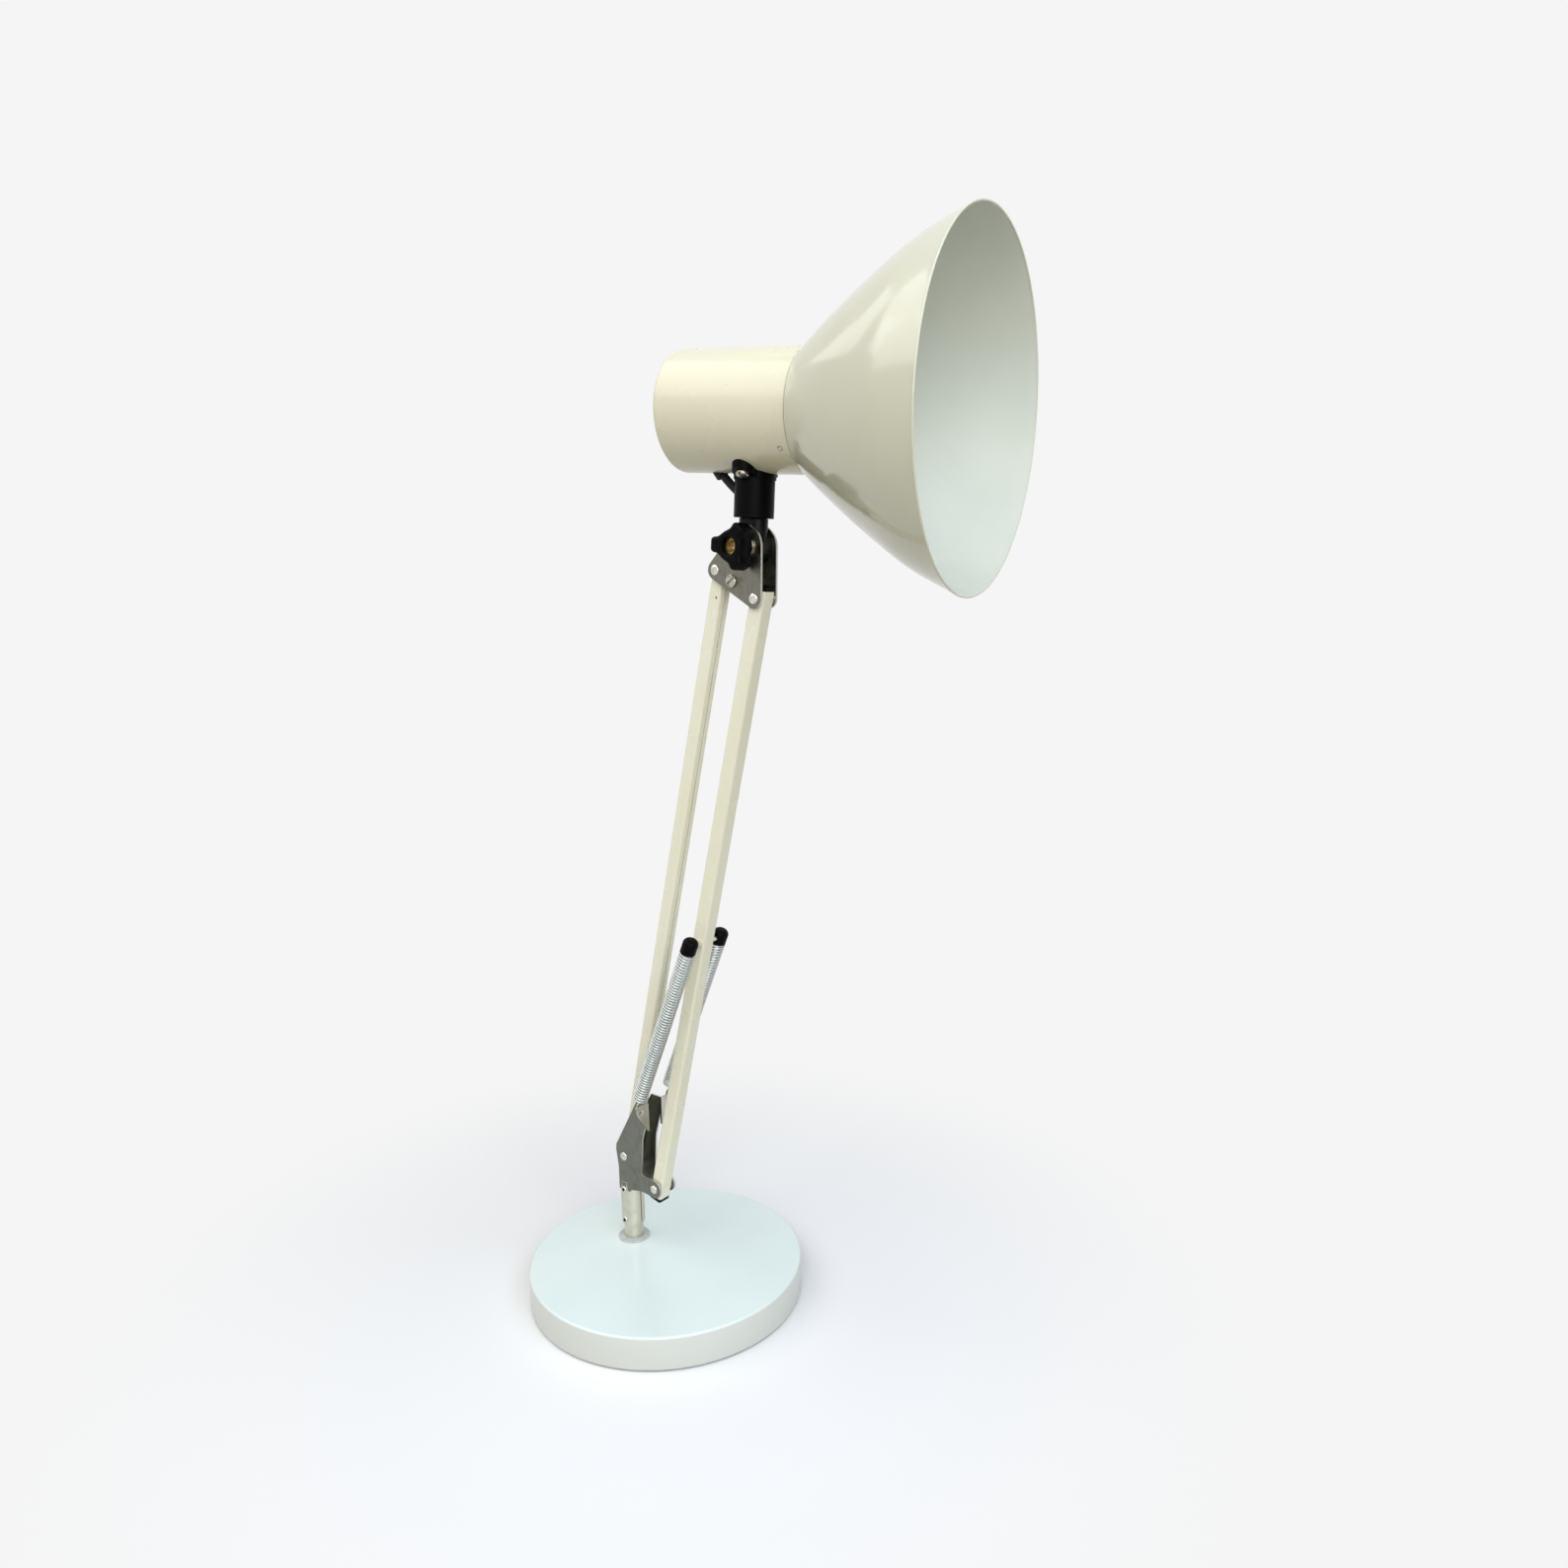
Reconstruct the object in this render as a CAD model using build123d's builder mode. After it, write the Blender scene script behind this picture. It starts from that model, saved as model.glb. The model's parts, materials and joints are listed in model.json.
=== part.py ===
from build123d import *
import math
import os

# Desk lamp with one sprung parallelogram arm on a weighted round base.
# Origin: foot of the post's swivel axis, on the surface the base rests on.
# +Z up, the arm leans towards +X, its two tubes move in the XZ plane.

# Base
base_radius = 92.0
base_height = 23.5
base_centre = (35.8, -4.1)
cover_wall = 1.5
pad_radius = 88.0
pad_thickness = 2.0
bush_radius = 8.5
bush_flange_radius = 11.0
bush_flange_height = 1.2

# Post and lower bracket
pin_radius = 6.6
running_gap = 0.05
pin_bottom = 7.6
pin_top = 65.5
shell_radius = 8.0
shell_bottom = 36.0
shell_top = 68.0
shell_slit = 0.9
plate_inner = 6.0
plate_thickness = 1.4
post_pin_heights = (39.4, 62.6)
lug_front = 25.2
lug_top = 133.0
lug_hole_height = 128.4

# Arm parallelogram
lower_front = (28.5, 71.3)
link = (-28.1, 16.0)
arm_length = 403.4
lean = math.radians(13.7)
front_size = 10.0
rear_size = 9.0
tube_wall = 1.0
bore_corner = 0.7
rivet_radius = 2.0
rivet_head_radius = 3.0
rivet_head_height = 1.0
tube_below_pivot = 7.2
tube_above_pivot = 4.9

# Springs
spring_offset = 14.0
anchor_along = 188.0
anchor_ahead = 1.4
wire_radius = 0.75
coil_radius = 4.35
coil_turns = 48
coil_pitch = 2.35
coil_start = 9.0
hook_radius = 2.2
plug_radius = 5.0

# Upper bracket and knob
pivot = (118.1, 491.4)
spacer = (108.5, 473.0)
bolt_radius = 3.0
knob_radius = 13.2
knob_inner = 8.9
knob_outer = 21.5

# Head, measured from the tilt pivot along the stem
tilt = math.radians(3.65)
turn = math.radians(10.1)
head_height = 71.2
sleeve_radius = 11.2
sleeve_bottom = 15.6
housing_radius = 32.3
housing_wall = 0.9
housing_back = 47.5
housing_front = 33.5
shade_depth = 95.5
shade_wall = 1.0
rim_radius = 91.5

os.makedirs("parts", exist_ok=True)


def save(part, name):
    part.label = name
    export_step(part, "parts/" + name + ".step")


def along(start, distance, side=0.0):
    """A point in the arm plane, a distance up the tube and a step ahead of it."""
    x = start[0] + distance * math.sin(lean) + side * math.cos(lean)
    z = start[1] + distance * math.cos(lean) - side * math.sin(lean)
    return (x, z)


lower_rear = (lower_front[0] + link[0], lower_front[1] + link[1])
upper_front = along(lower_front, arm_length)
upper_rear = along(lower_rear, arm_length)
anchor = along(lower_front, anchor_along, anchor_ahead)
plate_outer = plate_inner + plate_thickness
hole_radius = rivet_radius + running_gap

arm_direction = (math.sin(lean), 0, math.cos(lean))
arm_ahead = (math.cos(lean), 0, -math.sin(lean))
stem_up = Vector(math.sin(tilt), 0, math.cos(tilt))
stem_ahead = Vector(math.cos(tilt), 0, -math.sin(tilt))
head_axis = stem_ahead * math.cos(turn) + Vector(0, 1, 0) * math.sin(turn)
head_side = stem_ahead * -math.sin(turn) + Vector(0, 1, 0) * math.cos(turn)
pivot_point = Vector(pivot[0], 0, pivot[1])
head_point = pivot_point + stem_up * head_height

stem_plane = Plane(origin=pivot_point, x_dir=stem_ahead, z_dir=stem_up)
head_up_plane = Plane(origin=head_point, x_dir=head_axis, z_dir=stem_up)
head_profile_plane = Plane(origin=head_point, x_dir=head_axis, z_dir=head_side * -1)
head_front_plane = Plane(origin=head_point, x_dir=head_side, z_dir=head_axis)
head_line = Axis(head_point, head_axis)

# Base cover: a pressed pan with a crisp rim, open below
with BuildPart() as base_cover:
    with BuildSketch(Plane.XY.offset(1.0)):
        with Locations(base_centre):
            Circle(base_radius)
    extrude(amount=base_height - 1.0)
    fillet(base_cover.edges().group_by(Axis.Z)[-1], 1.6)
    with BuildSketch(Plane.XY.offset(1.0)):
        with Locations(base_centre):
            Circle(base_radius - cover_wall)
    extrude(amount=base_height - 1.0 - cover_wall, mode=Mode.SUBTRACT)
    with BuildSketch(Plane.XY):
        Circle(bush_radius)
    extrude(amount=base_height + 1.0, mode=Mode.SUBTRACT)
save(base_cover.part, "base_cover")

# Base weight: a cast disc that fills the pan, with a recess for the bush nut
with BuildPart() as base_weight:
    with BuildSketch(Plane.XY.offset(pad_thickness)):
        with Locations(base_centre):
            Circle(base_radius - cover_wall - 0.3)
    extrude(amount=base_height - cover_wall - pad_thickness)
    chamfer(base_weight.edges().group_by(Axis.Z)[-1], 1.0)
    with BuildSketch(Plane.XY.offset(pad_thickness)):
        Circle(17.0)
    extrude(amount=9.0, mode=Mode.SUBTRACT)
    with BuildSketch(Plane.XY.offset(pad_thickness)):
        Circle(bush_radius)
    extrude(amount=base_height, mode=Mode.SUBTRACT)
save(base_weight.part, "base_weight")

# Felt pad under the base
with BuildPart() as base_pad:
    with BuildSketch(Plane.XY):
        with Locations(base_centre):
            Circle(pad_radius)
    extrude(amount=pad_thickness)
save(base_pad.part, "base_pad")

# Bush: flanged socket with a closed foot that carries the post
with BuildPart() as base_bush:
    with BuildSketch(Plane.XY.offset(4.8)):
        Circle(bush_radius)
    extrude(amount=base_height - 4.8)
    with BuildSketch(Plane.XY.offset(base_height)):
        Circle(bush_flange_radius)
    extrude(amount=bush_flange_height)
    fillet(base_bush.edges().group_by(Axis.Z)[-1], 0.8)
    with BuildSketch(Plane.XY.offset(pin_bottom - 0.1)):
        Circle(pin_radius + running_gap)
    extrude(amount=base_height, mode=Mode.SUBTRACT)
save(base_bush.part, "base_bush")

# Hexagonal nut that clamps weight and cover under the bush flange
with BuildPart() as bush_nut:
    with BuildSketch(Plane.XY.offset(5.0)):
        RegularPolygon(radius=13.5, side_count=6, major_radius=False)
        Circle(bush_radius, mode=Mode.SUBTRACT)
    extrude(amount=6.0)
save(bush_nut.part, "bush_nut")

# Swivel pin that turns in the bush
with BuildPart() as swivel_pin:
    with BuildSketch(Plane.XY.offset(pin_bottom)):
        Circle(pin_radius)
    extrude(amount=pin_top - pin_bottom)
    chamfer(swivel_pin.edges().group_by(Axis.Z)[0], 0.8)
    with BuildSketch(Plane.XZ.offset(-10)):
        with Locations(*[(0, height) for height in post_pin_heights]):
            Circle(1.6)
    extrude(amount=20, mode=Mode.SUBTRACT)
save(swivel_pin.part, "swivel_pin")

# Near bracket plate: lower tongue rolled to a half shell round the pin,
# an ear for the front tube, and a lug bent outwards for the spring
plate_outline = [
    (-4.9, 62.0),
    (-5.0, 79.0),
    (-6.9, 91.0),
    (-6.4, 95.0),
    (15.5, lug_top),
    (lug_front, lug_top),
    (lug_front, 126.0),
    (22.0, 115.0),
    (18.8, 104.0),
    (17.2, 79.0),
    (18.0, 66.4),
    (7.0, 64.0),
    (5.0, 62.0),
]
ear_back = (15.5, 72.6)
ear_middle = ((lower_front[0] + ear_back[0]) / 2, (lower_front[1] + ear_back[1]) / 2)
with BuildPart() as bracket_plate_near:
    with BuildSketch(Plane.XZ.offset(plate_inner)):
        with BuildLine():
            Polyline(*plate_outline, close=True)
        make_face()
        SlotCenterPoint(center=ear_middle, point=lower_front, height=12.4)
    extrude(amount=plate_thickness)
    with BuildSketch(Plane.XY.offset(shell_bottom)):
        Circle(shell_radius)
        Circle(pin_radius, mode=Mode.SUBTRACT)
        with Locations((0, shell_radius - shell_slit / 2)):
            Rectangle(4 * shell_radius, 2 * shell_radius, mode=Mode.SUBTRACT)
    extrude(amount=shell_top - shell_bottom)
    with BuildSketch(Plane.XY.offset(shell_bottom)):
        Circle(pin_radius)
    extrude(amount=pin_top - shell_bottom, mode=Mode.SUBTRACT)
    with BuildSketch(Plane.YZ.offset(lug_front - plate_thickness)):
        with BuildLine():
            Polyline(
                (-plate_inner, lug_top),
                (-17.6, lug_top),
                (-17.6, 129.5),
                (-15.5, 125.5),
                (-plate_outer, 113.5),
                (-plate_inner, 113.5),
                close=True,
            )
        make_face()
    extrude(amount=plate_thickness)
    with BuildSketch(Plane.YZ.offset(lug_front - 5)):
        with Locations((-spring_offset, lug_hole_height)):
            Circle(1.15)
    extrude(amount=10, mode=Mode.SUBTRACT)
    with BuildSketch(Plane.XZ.offset(5)):
        with Locations(lower_front, lower_rear):
            Circle(rivet_radius)
        with Locations(*[(0, height) for height in post_pin_heights]):
            Circle(1.6)
    extrude(amount=10, mode=Mode.SUBTRACT)
save(bracket_plate_near.part, "bracket_plate_near")

# Far bracket plate: its mirror image
with BuildPart() as bracket_plate_far:
    mirror(bracket_plate_near.part, about=Plane.XZ)
save(bracket_plate_far.part, "bracket_plate_far")


def cross_pin(place, radius, head_radius, head_height, half_length):
    """A pin along Y with a low domed head at each end."""
    with BuildPart() as pin:
        with BuildSketch(Plane.XZ.offset(-half_length)):
            with Locations(place):
                Circle(radius)
        extrude(amount=2 * half_length)
        for side in (1, -1):
            with BuildSketch(Plane.XZ.offset(side * half_length)):
                with Locations(place):
                    Circle(head_radius)
            extrude(amount=side * head_height)
        rims = pin.edges().group_by(Axis.Y)
        chamfer(rims[0] + rims[-1], 0.6 * head_height)
    return pin.part


def washer(place, bore, radius, inner, outer):
    """Two washers, one each side of the arm plane."""
    with BuildPart() as ring:
        for side in (1, -1):
            with BuildSketch(Plane.XZ.offset(side * inner)):
                with Locations(place):
                    Circle(radius)
                    Circle(bore, mode=Mode.SUBTRACT)
            extrude(amount=side * (outer - inner))
    return ring.part


# Post pins: two small rivets through both half shells and the swivel pin
with BuildPart() as post_pins:
    for height in post_pin_heights:
        add(cross_pin((0, height), 1.6, 2.3, 0.9, shell_radius))
save(post_pins.part, "post_pins")

# Pivot rivets of the lower bracket and their washers
rivet_sizes = (rivet_radius, rivet_head_radius, rivet_head_height, plate_outer)
save(cross_pin(lower_front, *rivet_sizes), "lower_front_rivet")
save(cross_pin(lower_rear, *rivet_sizes), "lower_rear_rivet")
with BuildPart() as lower_washers:
    add(washer(lower_front, rivet_radius, 4.6, front_size / 2 + 0.05, plate_inner))
    add(washer(lower_rear, rivet_radius, 4.4, rear_size / 2 + 0.05, plate_inner))
save(lower_washers.part, "lower_washers")

# Front tube: square tube with rounded corners
tube_length = arm_length + tube_below_pivot + tube_above_pivot
front_foot = along(lower_front, -tube_below_pivot)
front_plane = Plane(origin=(front_foot[0], 0, front_foot[1]), x_dir=arm_ahead, z_dir=arm_direction)
with BuildPart() as front_tube:
    with BuildSketch(front_plane):
        RectangleRounded(front_size, front_size, 1.7)
        RectangleRounded(front_size - 2 * tube_wall, front_size - 2 * tube_wall, bore_corner, mode=Mode.SUBTRACT)
    extrude(amount=tube_length)
    with BuildSketch(Plane.XZ.offset(-10)):
        with Locations(lower_front, upper_front):
            Circle(hole_radius)
        with Locations(anchor):
            Circle(2.0)
    extrude(amount=20, mode=Mode.SUBTRACT)
save(front_tube.part, "front_tube")

# Rear tube: a slimmer one, roll formed, its open seam facing the front tube
rear_foot = along(lower_rear, -tube_below_pivot)
rear_plane = Plane(origin=(rear_foot[0], 0, rear_foot[1]), x_dir=arm_ahead, z_dir=arm_direction)
small_hole = along(upper_rear, -15.5, 1.6)
with BuildPart() as rear_tube:
    with BuildSketch(rear_plane):
        RectangleRounded(rear_size, rear_size, 1.6)
        RectangleRounded(rear_size - 2 * tube_wall, rear_size - 2 * tube_wall, bore_corner, mode=Mode.SUBTRACT)
        with Locations((rear_size / 2, 0)):
            Rectangle(2.5, 0.7, mode=Mode.SUBTRACT)
    extrude(amount=tube_length)
    with BuildSketch(Plane.XZ.offset(-10)):
        with Locations(lower_rear):
            Circle(hole_radius)
        with Locations(upper_rear):
            Circle(rivet_radius + 0.15)
    extrude(amount=20, mode=Mode.SUBTRACT)
    with BuildSketch(Plane.XZ):
        with Locations(small_hole):
            Circle(0.8)
    extrude(amount=10, mode=Mode.SUBTRACT)
save(rear_tube.part, "rear_tube")


def tube_plugs(start, size):
    """Two black plugs, one in each end of a tube."""
    bore = size - 2 * tube_wall
    with BuildPart() as plugs:
        for low, stub, outward in ((-tube_below_pivot, 4.5, -1), (arm_length + tube_above_pivot, 1.8, 1)):
            end = along(start, low)
            plane = Plane(origin=(end[0], 0, end[1]), x_dir=arm_ahead, z_dir=arm_direction)
            with BuildSketch(plane):
                RectangleRounded(size, size, 1.6)
            extrude(amount=2.3 * outward)
            with BuildSketch(plane):
                RectangleRounded(bore, bore, bore_corner)
            extrude(amount=-stub * outward)
    return plugs.part


save(tube_plugs(lower_front, front_size), "front_tube_plugs")
save(tube_plugs(lower_rear, rear_size), "rear_tube_plugs")

# Springs: each runs from the lug up to a plug on the cross pin of the front tube
hook_top = (21.95, 131.5)
spring_run = Vector(anchor[0] - hook_top[0], 0, anchor[1] - hook_top[1])
spring_up = spring_run.normalized()
spring_ahead = Vector(spring_up.Z, 0, -spring_up.X)

# Cross pin, short of the plugs' outer faces
with BuildPart() as spring_pin:
    with BuildSketch(Plane.XZ.offset(-spring_offset - 2)):
        with Locations(anchor):
            Circle(2.0)
    extrude(amount=2 * (spring_offset + 2))
save(spring_pin.part, "spring_pin")

# Plugs: domed heads on the pin, with a neck inside the top curls
with BuildPart() as spring_plugs:
    for side in (-1, 1):
        centre = Vector(anchor[0], side * spring_offset, anchor[1])
        plug_plane = Plane(origin=centre, x_dir=spring_ahead, z_dir=spring_up)
        with BuildSketch(plug_plane.offset(-4.5)):
            Circle(plug_radius)
        extrude(amount=10.0)
    fillet(spring_plugs.edges().filter_by(GeomType.CIRCLE).group_by(Axis.Z)[-1], 3.4)
    with BuildSketch(Plane.XZ.offset(-spring_offset - 2)):
        with Locations(anchor):
            Circle(2.0)
    extrude(amount=2 * (spring_offset + 2), mode=Mode.SUBTRACT)
save(spring_plugs.part, "spring_plugs")


def biarc(start, start_tangent, end, end_tangent):
    """Two arcs that join smoothly between two points with given tangents."""
    gap = end - start
    both = start_tangent + end_tangent
    spread = 2 * (1 - start_tangent.dot(end_tangent))
    if spread < 1e-9:
        reach = gap.dot(gap) / (4 * gap.dot(end_tangent))
    else:
        root = math.sqrt(gap.dot(both) ** 2 + spread * gap.dot(gap))
        reach = (root - gap.dot(both)) / spread
    near = start + start_tangent * reach
    far = end - end_tangent * reach
    joint = (near + far) * 0.5
    TangentArc(start, joint, tangent=start_tangent)
    TangentArc(joint, end, tangent=(far - near).normalized())


def coil_frame(angle, side):
    """Point and tangent of the winding at an angle, for one of the springs."""
    height = coil_start + coil_pitch * angle / (2 * math.pi)
    foot = Vector(hook_top[0], side * spring_offset, hook_top[1]) + spring_up * height
    across = Vector(0, side, 0)
    point = foot + (spring_ahead * math.cos(angle) + across * math.sin(angle)) * coil_radius
    rate = (across * math.cos(angle) - spring_ahead * math.sin(angle)) * coil_radius
    tangent = (rate + spring_up * (coil_pitch / (2 * math.pi))).normalized()
    return point, tangent


def spring(side):
    """Hook through the lug, straight leg, winding, straight leg into the plug."""
    foot = Vector(hook_top[0], side * spring_offset, hook_top[1])
    behind = Vector(hook_top[0] + hook_radius * spring_up.Z, side * spring_offset, lug_hole_height)
    level = Vector(-1, 0, 0)
    quarter = math.pi / 2
    steps = coil_turns * 4
    with BuildPart() as wire_part:
        with BuildLine() as route:
            tail = Vector(lug_front + 1.0, side * spring_offset, lug_hole_height)
            tail_top = tail + Vector(1.8, 0, 1.8)
            Line(tail_top + Vector(0, 0, 1.6), tail_top)
            TangentArc(tail_top, tail, tangent=(0, 0, -1))
            Line(tail, behind)
            biarc(behind, level, foot, spring_up)
            start_point, start_tangent = coil_frame(0, side)
            leg_top = foot + spring_up * (coil_start - 5.5)
            Line(foot, leg_top)
            biarc(leg_top, spring_up, start_point, start_tangent)
            for step in range(steps):
                low_point, low_tangent = coil_frame(step * quarter, side)
                high_point, high_tangent = coil_frame((step + 1) * quarter, side)
                biarc(low_point, low_tangent, high_point, high_tangent)
            end_point, end_tangent = coil_frame(steps * quarter, side)
            top = coil_start + coil_pitch * coil_turns + 5.2
            leg_end = foot + spring_up * top
            plug_face = foot + spring_up * (spring_run.length - 4.5)
            biarc(end_point, end_tangent, leg_end, spring_up)
            Line(leg_end, plug_face)
        with BuildSketch(Plane(origin=tail_top + Vector(0, 0, 1.6), z_dir=(0, 0, -1))):
            Circle(wire_radius)
        sweep(path=route.line)
    pieces = route.edges()
    length = sum(piece.length for piece in pieces)
    ratio = wire_part.part.volume / (math.pi * wire_radius**2 * length)
    print("spring leg to the plug", round((plug_face - leg_end).length, 2), "mm")
    print("wire length", round(length, 1), "mm, volume over section times length", round(ratio, 4))
    print("least wire bend", round(min(piece.radius for piece in pieces.filter_by(GeomType.CIRCLE)), 2), "mm")
    return wire_part.part, pieces


def least_gap(pieces, spacing=0.4, apart=6.0):
    """Least free gap between stretches of the wire, measured on points."""
    cells = {}
    best = 1e9
    travelled = 0.0
    for piece in pieces:
        count = max(1, round(piece.length / spacing))
        for index in range(count):
            point = piece @ (index / count)
            place = travelled + piece.length * index / count
            key = (int(point.X // 3), int(point.Y // 3), int(point.Z // 3))
            for dx in (-1, 0, 1):
                for dy in (-1, 0, 1):
                    for dz in (-1, 0, 1):
                        for other_place, other in cells.get((key[0] + dx, key[1] + dy, key[2] + dz), []):
                            if place - other_place > apart:
                                best = min(best, (point - other).length)
            cells.setdefault(key, []).append((place, point))
        travelled += piece.length
    return best - 2 * wire_radius


near_wire, near_path = spring(-1)
print("least gap of the spring to itself", round(least_gap(near_path), 3), "mm")
save(near_wire, "spring_near")
with BuildPart() as spring_far:
    mirror(near_wire, about=Plane.XZ)
save(spring_far.part, "spring_far")

# Upper bracket plates: rounded triangles
with BuildPart() as upper_plate_near:
    with BuildSketch(Plane.XZ.offset(plate_inner)) as triangle:
        with Locations(upper_rear):
            Circle(5.2)
        with Locations(upper_front):
            Circle(5.4)
        with Locations(pivot):
            Circle(12.0)
        make_hull()
        with Locations(upper_rear, upper_front):
            Circle(rivet_radius, mode=Mode.SUBTRACT)
        with Locations(spacer):
            Circle(2.0, mode=Mode.SUBTRACT)
        with Locations(pivot):
            Circle(bolt_radius, mode=Mode.SUBTRACT)
    extrude(amount=plate_thickness)
save(upper_plate_near.part, "upper_plate_near")
with BuildPart() as upper_plate_far:
    mirror(upper_plate_near.part, about=Plane.XZ)
save(upper_plate_far.part, "upper_plate_far")

save(cross_pin(upper_front, *rivet_sizes), "upper_front_rivet")
save(cross_pin(upper_rear, *rivet_sizes), "upper_rear_rivet")
with BuildPart() as upper_washers:
    add(washer(upper_front, rivet_radius, 4.6, front_size / 2 + 0.05, plate_inner))
    add(washer(upper_rear, rivet_radius, 4.4, rear_size / 2 + 0.05, plate_inner))
save(upper_washers.part, "upper_washers")

# Spacer between the plates: sleeve, slotted screw and nut
with BuildPart() as spacer_sleeve:
    with BuildSketch(Plane.XZ.offset(-plate_inner)):
        with Locations(spacer):
            Circle(3.1)
            Circle(2.0, mode=Mode.SUBTRACT)
    extrude(amount=2 * plate_inner)
save(spacer_sleeve.part, "spacer_sleeve")
with BuildPart() as spacer_screw:
    with BuildSketch(Plane.XZ.offset(-plate_outer - 3.4)):
        with Locations(spacer):
            Circle(2.0)
    extrude(amount=2 * plate_outer + 3.4)
    with BuildSketch(Plane.XZ.offset(plate_outer)):
        with Locations(spacer):
            Circle(3.7)
    extrude(amount=1.7)
    chamfer(spacer_screw.edges().group_by(Axis.Y)[0], 0.5)
    with BuildSketch(Plane.XZ.offset(plate_outer + 0.8)):
        with Locations(Location((spacer[0], spacer[1], 0), (0, 0, 38))):
            Rectangle(9.0, 0.9)
    extrude(amount=2.0, mode=Mode.SUBTRACT)
save(spacer_screw.part, "spacer_screw")
with BuildPart() as spacer_nut:
    with BuildSketch(Plane.XZ.offset(-plate_outer)):
        with Locations(spacer):
            RegularPolygon(radius=3.5, side_count=6, major_radius=False)
            Circle(2.0, mode=Mode.SUBTRACT)
    extrude(amount=-2.8)
save(spacer_nut.part, "spacer_nut")

# Clamp bolt with its head on the far side, and the washer under the knob
with BuildPart() as clamp_bolt:
    with BuildSketch(Plane.XZ.offset(-plate_outer)):
        with Locations(pivot):
            Circle(bolt_radius)
    extrude(amount=plate_outer + knob_outer - 6.5)
    with BuildSketch(Plane.XZ.offset(-plate_outer)):
        with Locations(pivot):
            RegularPolygon(radius=5.0, side_count=6, major_radius=False)
    extrude(amount=-4.0)
    chamfer(clamp_bolt.edges().group_by(Axis.Y)[-1], 0.4)
save(clamp_bolt.part, "clamp_bolt")
with BuildPart() as knob_washer:
    with BuildSketch(Plane.XZ.offset(plate_outer)):
        with Locations(pivot):
            Circle(7.0)
            Circle(bolt_radius, mode=Mode.SUBTRACT)
    extrude(amount=1.2)
save(knob_washer.part, "knob_washer")

# Wing knob: hub with three rounded lobes and a recess round the bolt end
with BuildPart() as knob:
    with BuildSketch(Plane.XZ.offset(knob_inner)):
        with Locations(pivot):
            Circle(7.2)
    extrude(amount=knob_outer - knob_inner)
    with BuildSketch(Plane.XZ.offset(knob_inner + 1.6)):
        with Locations(pivot):
            Circle(8.6)
        for number in range(3):
            heading = math.radians(54 + 120 * number)
            tip = (
                pivot[0] + (knob_radius - 4.4) * math.cos(heading),
                pivot[1] + (knob_radius - 4.4) * math.sin(heading),
            )
            half = ((pivot[0] + tip[0]) / 2, (pivot[1] + tip[1]) / 2)
            SlotCenterPoint(center=half, point=tip, height=8.8)
    extrude(amount=knob_outer - knob_inner - 1.6)
    fillet(knob.edges().group_by(Axis.Y)[0], 1.0)
    with BuildSketch(Plane.XZ.offset(knob_inner)):
        with Locations(pivot):
            Circle(4.7)
    extrude(amount=knob_outer, mode=Mode.SUBTRACT)
save(knob.part, "knob")
with BuildPart() as knob_insert:
    with BuildSketch(Plane.XZ.offset(knob_inner)):
        with Locations(pivot):
            Circle(4.7)
            Circle(bolt_radius + running_gap, mode=Mode.SUBTRACT)
    extrude(amount=9.0)
save(knob_insert.part, "knob_insert")

# Knuckle: tilting block between the plates with a stem and a thin spigot
with BuildPart() as knuckle:
    with BuildSketch(Plane.XZ.offset(-5.8)):
        with Locations(pivot):
            Circle(9.0)
    extrude(amount=11.6)
    with BuildSketch(stem_plane):
        Circle(5.75)
    extrude(amount=sleeve_bottom - 0.1)
    with BuildSketch(stem_plane.offset(sleeve_bottom - 0.1)):
        Circle(4.5)
    extrude(amount=8.7)
    with BuildSketch(stem_plane.offset(12)):
        Circle(2.0)
    extrude(amount=14, mode=Mode.SUBTRACT)
    with BuildSketch(Plane.XZ.offset(-8)):
        with Locations(pivot):
            Circle(bolt_radius + running_gap)
    extrude(amount=16, mode=Mode.SUBTRACT)
save(knuckle.part, "knuckle")
with BuildPart() as stem_washer:
    with BuildSketch(stem_plane.offset(sleeve_bottom + 8.6)):
        Circle(6.8)
        Circle(2.0, mode=Mode.SUBTRACT)
    extrude(amount=1.2)
save(stem_washer.part, "stem_washer")
with BuildPart() as stem_screw:
    with BuildSketch(stem_plane.offset(12)):
        Circle(2.0)
    extrude(amount=sleeve_bottom + 9.8 - 12)
    with BuildSketch(stem_plane.offset(sleeve_bottom + 9.8)):
        Circle(3.8)
    extrude(amount=2.4)
save(stem_screw.part, "stem_screw")

# Flex route, from inside the housing to the back of the sleeve
flex_radius = 2.4
flex_points = [(-27.0, -26.0), (-18.8, -36.2), (-8.4, -43.4)]
flex_bend = 30.0
flex_run = Vector(flex_points[1][0] - flex_points[0][0], flex_points[1][1] - flex_points[0][1])
flex_turn = Vector(flex_points[2][0] - flex_points[1][0], flex_points[2][1] - flex_points[1][1])


def head_place(ahead, up, side=0.0):
    """A point given along the head's axis, across it and up the stem."""
    return head_point + head_axis * ahead + stem_up * up + head_side * side


flex_start = head_place(*flex_points[0])
flex_middle = head_place(*flex_points[1])
flex_end = head_place(*flex_points[2])
flex_out = (flex_middle - flex_start).normalized()
flex_in = (flex_end - flex_middle).normalized()
with BuildPart() as flex:
    with BuildLine() as flex_line:
        FilletPolyline(flex_start, flex_middle, flex_end, radius=flex_bend)
    with BuildSketch(Plane(origin=flex_start, z_dir=flex_out)):
        Circle(flex_radius)
    sweep(path=flex_line.line)
flex_length = sum(piece.length for piece in flex_line.edges())
flex_ratio = flex.part.volume / (math.pi * flex_radius**2 * flex_length)
print("flex length", round(flex_length, 1), "mm, bend radius", flex_bend, "mm")
print("flex volume over section times length", round(flex_ratio, 4))
save(flex.part, "flex")

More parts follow.
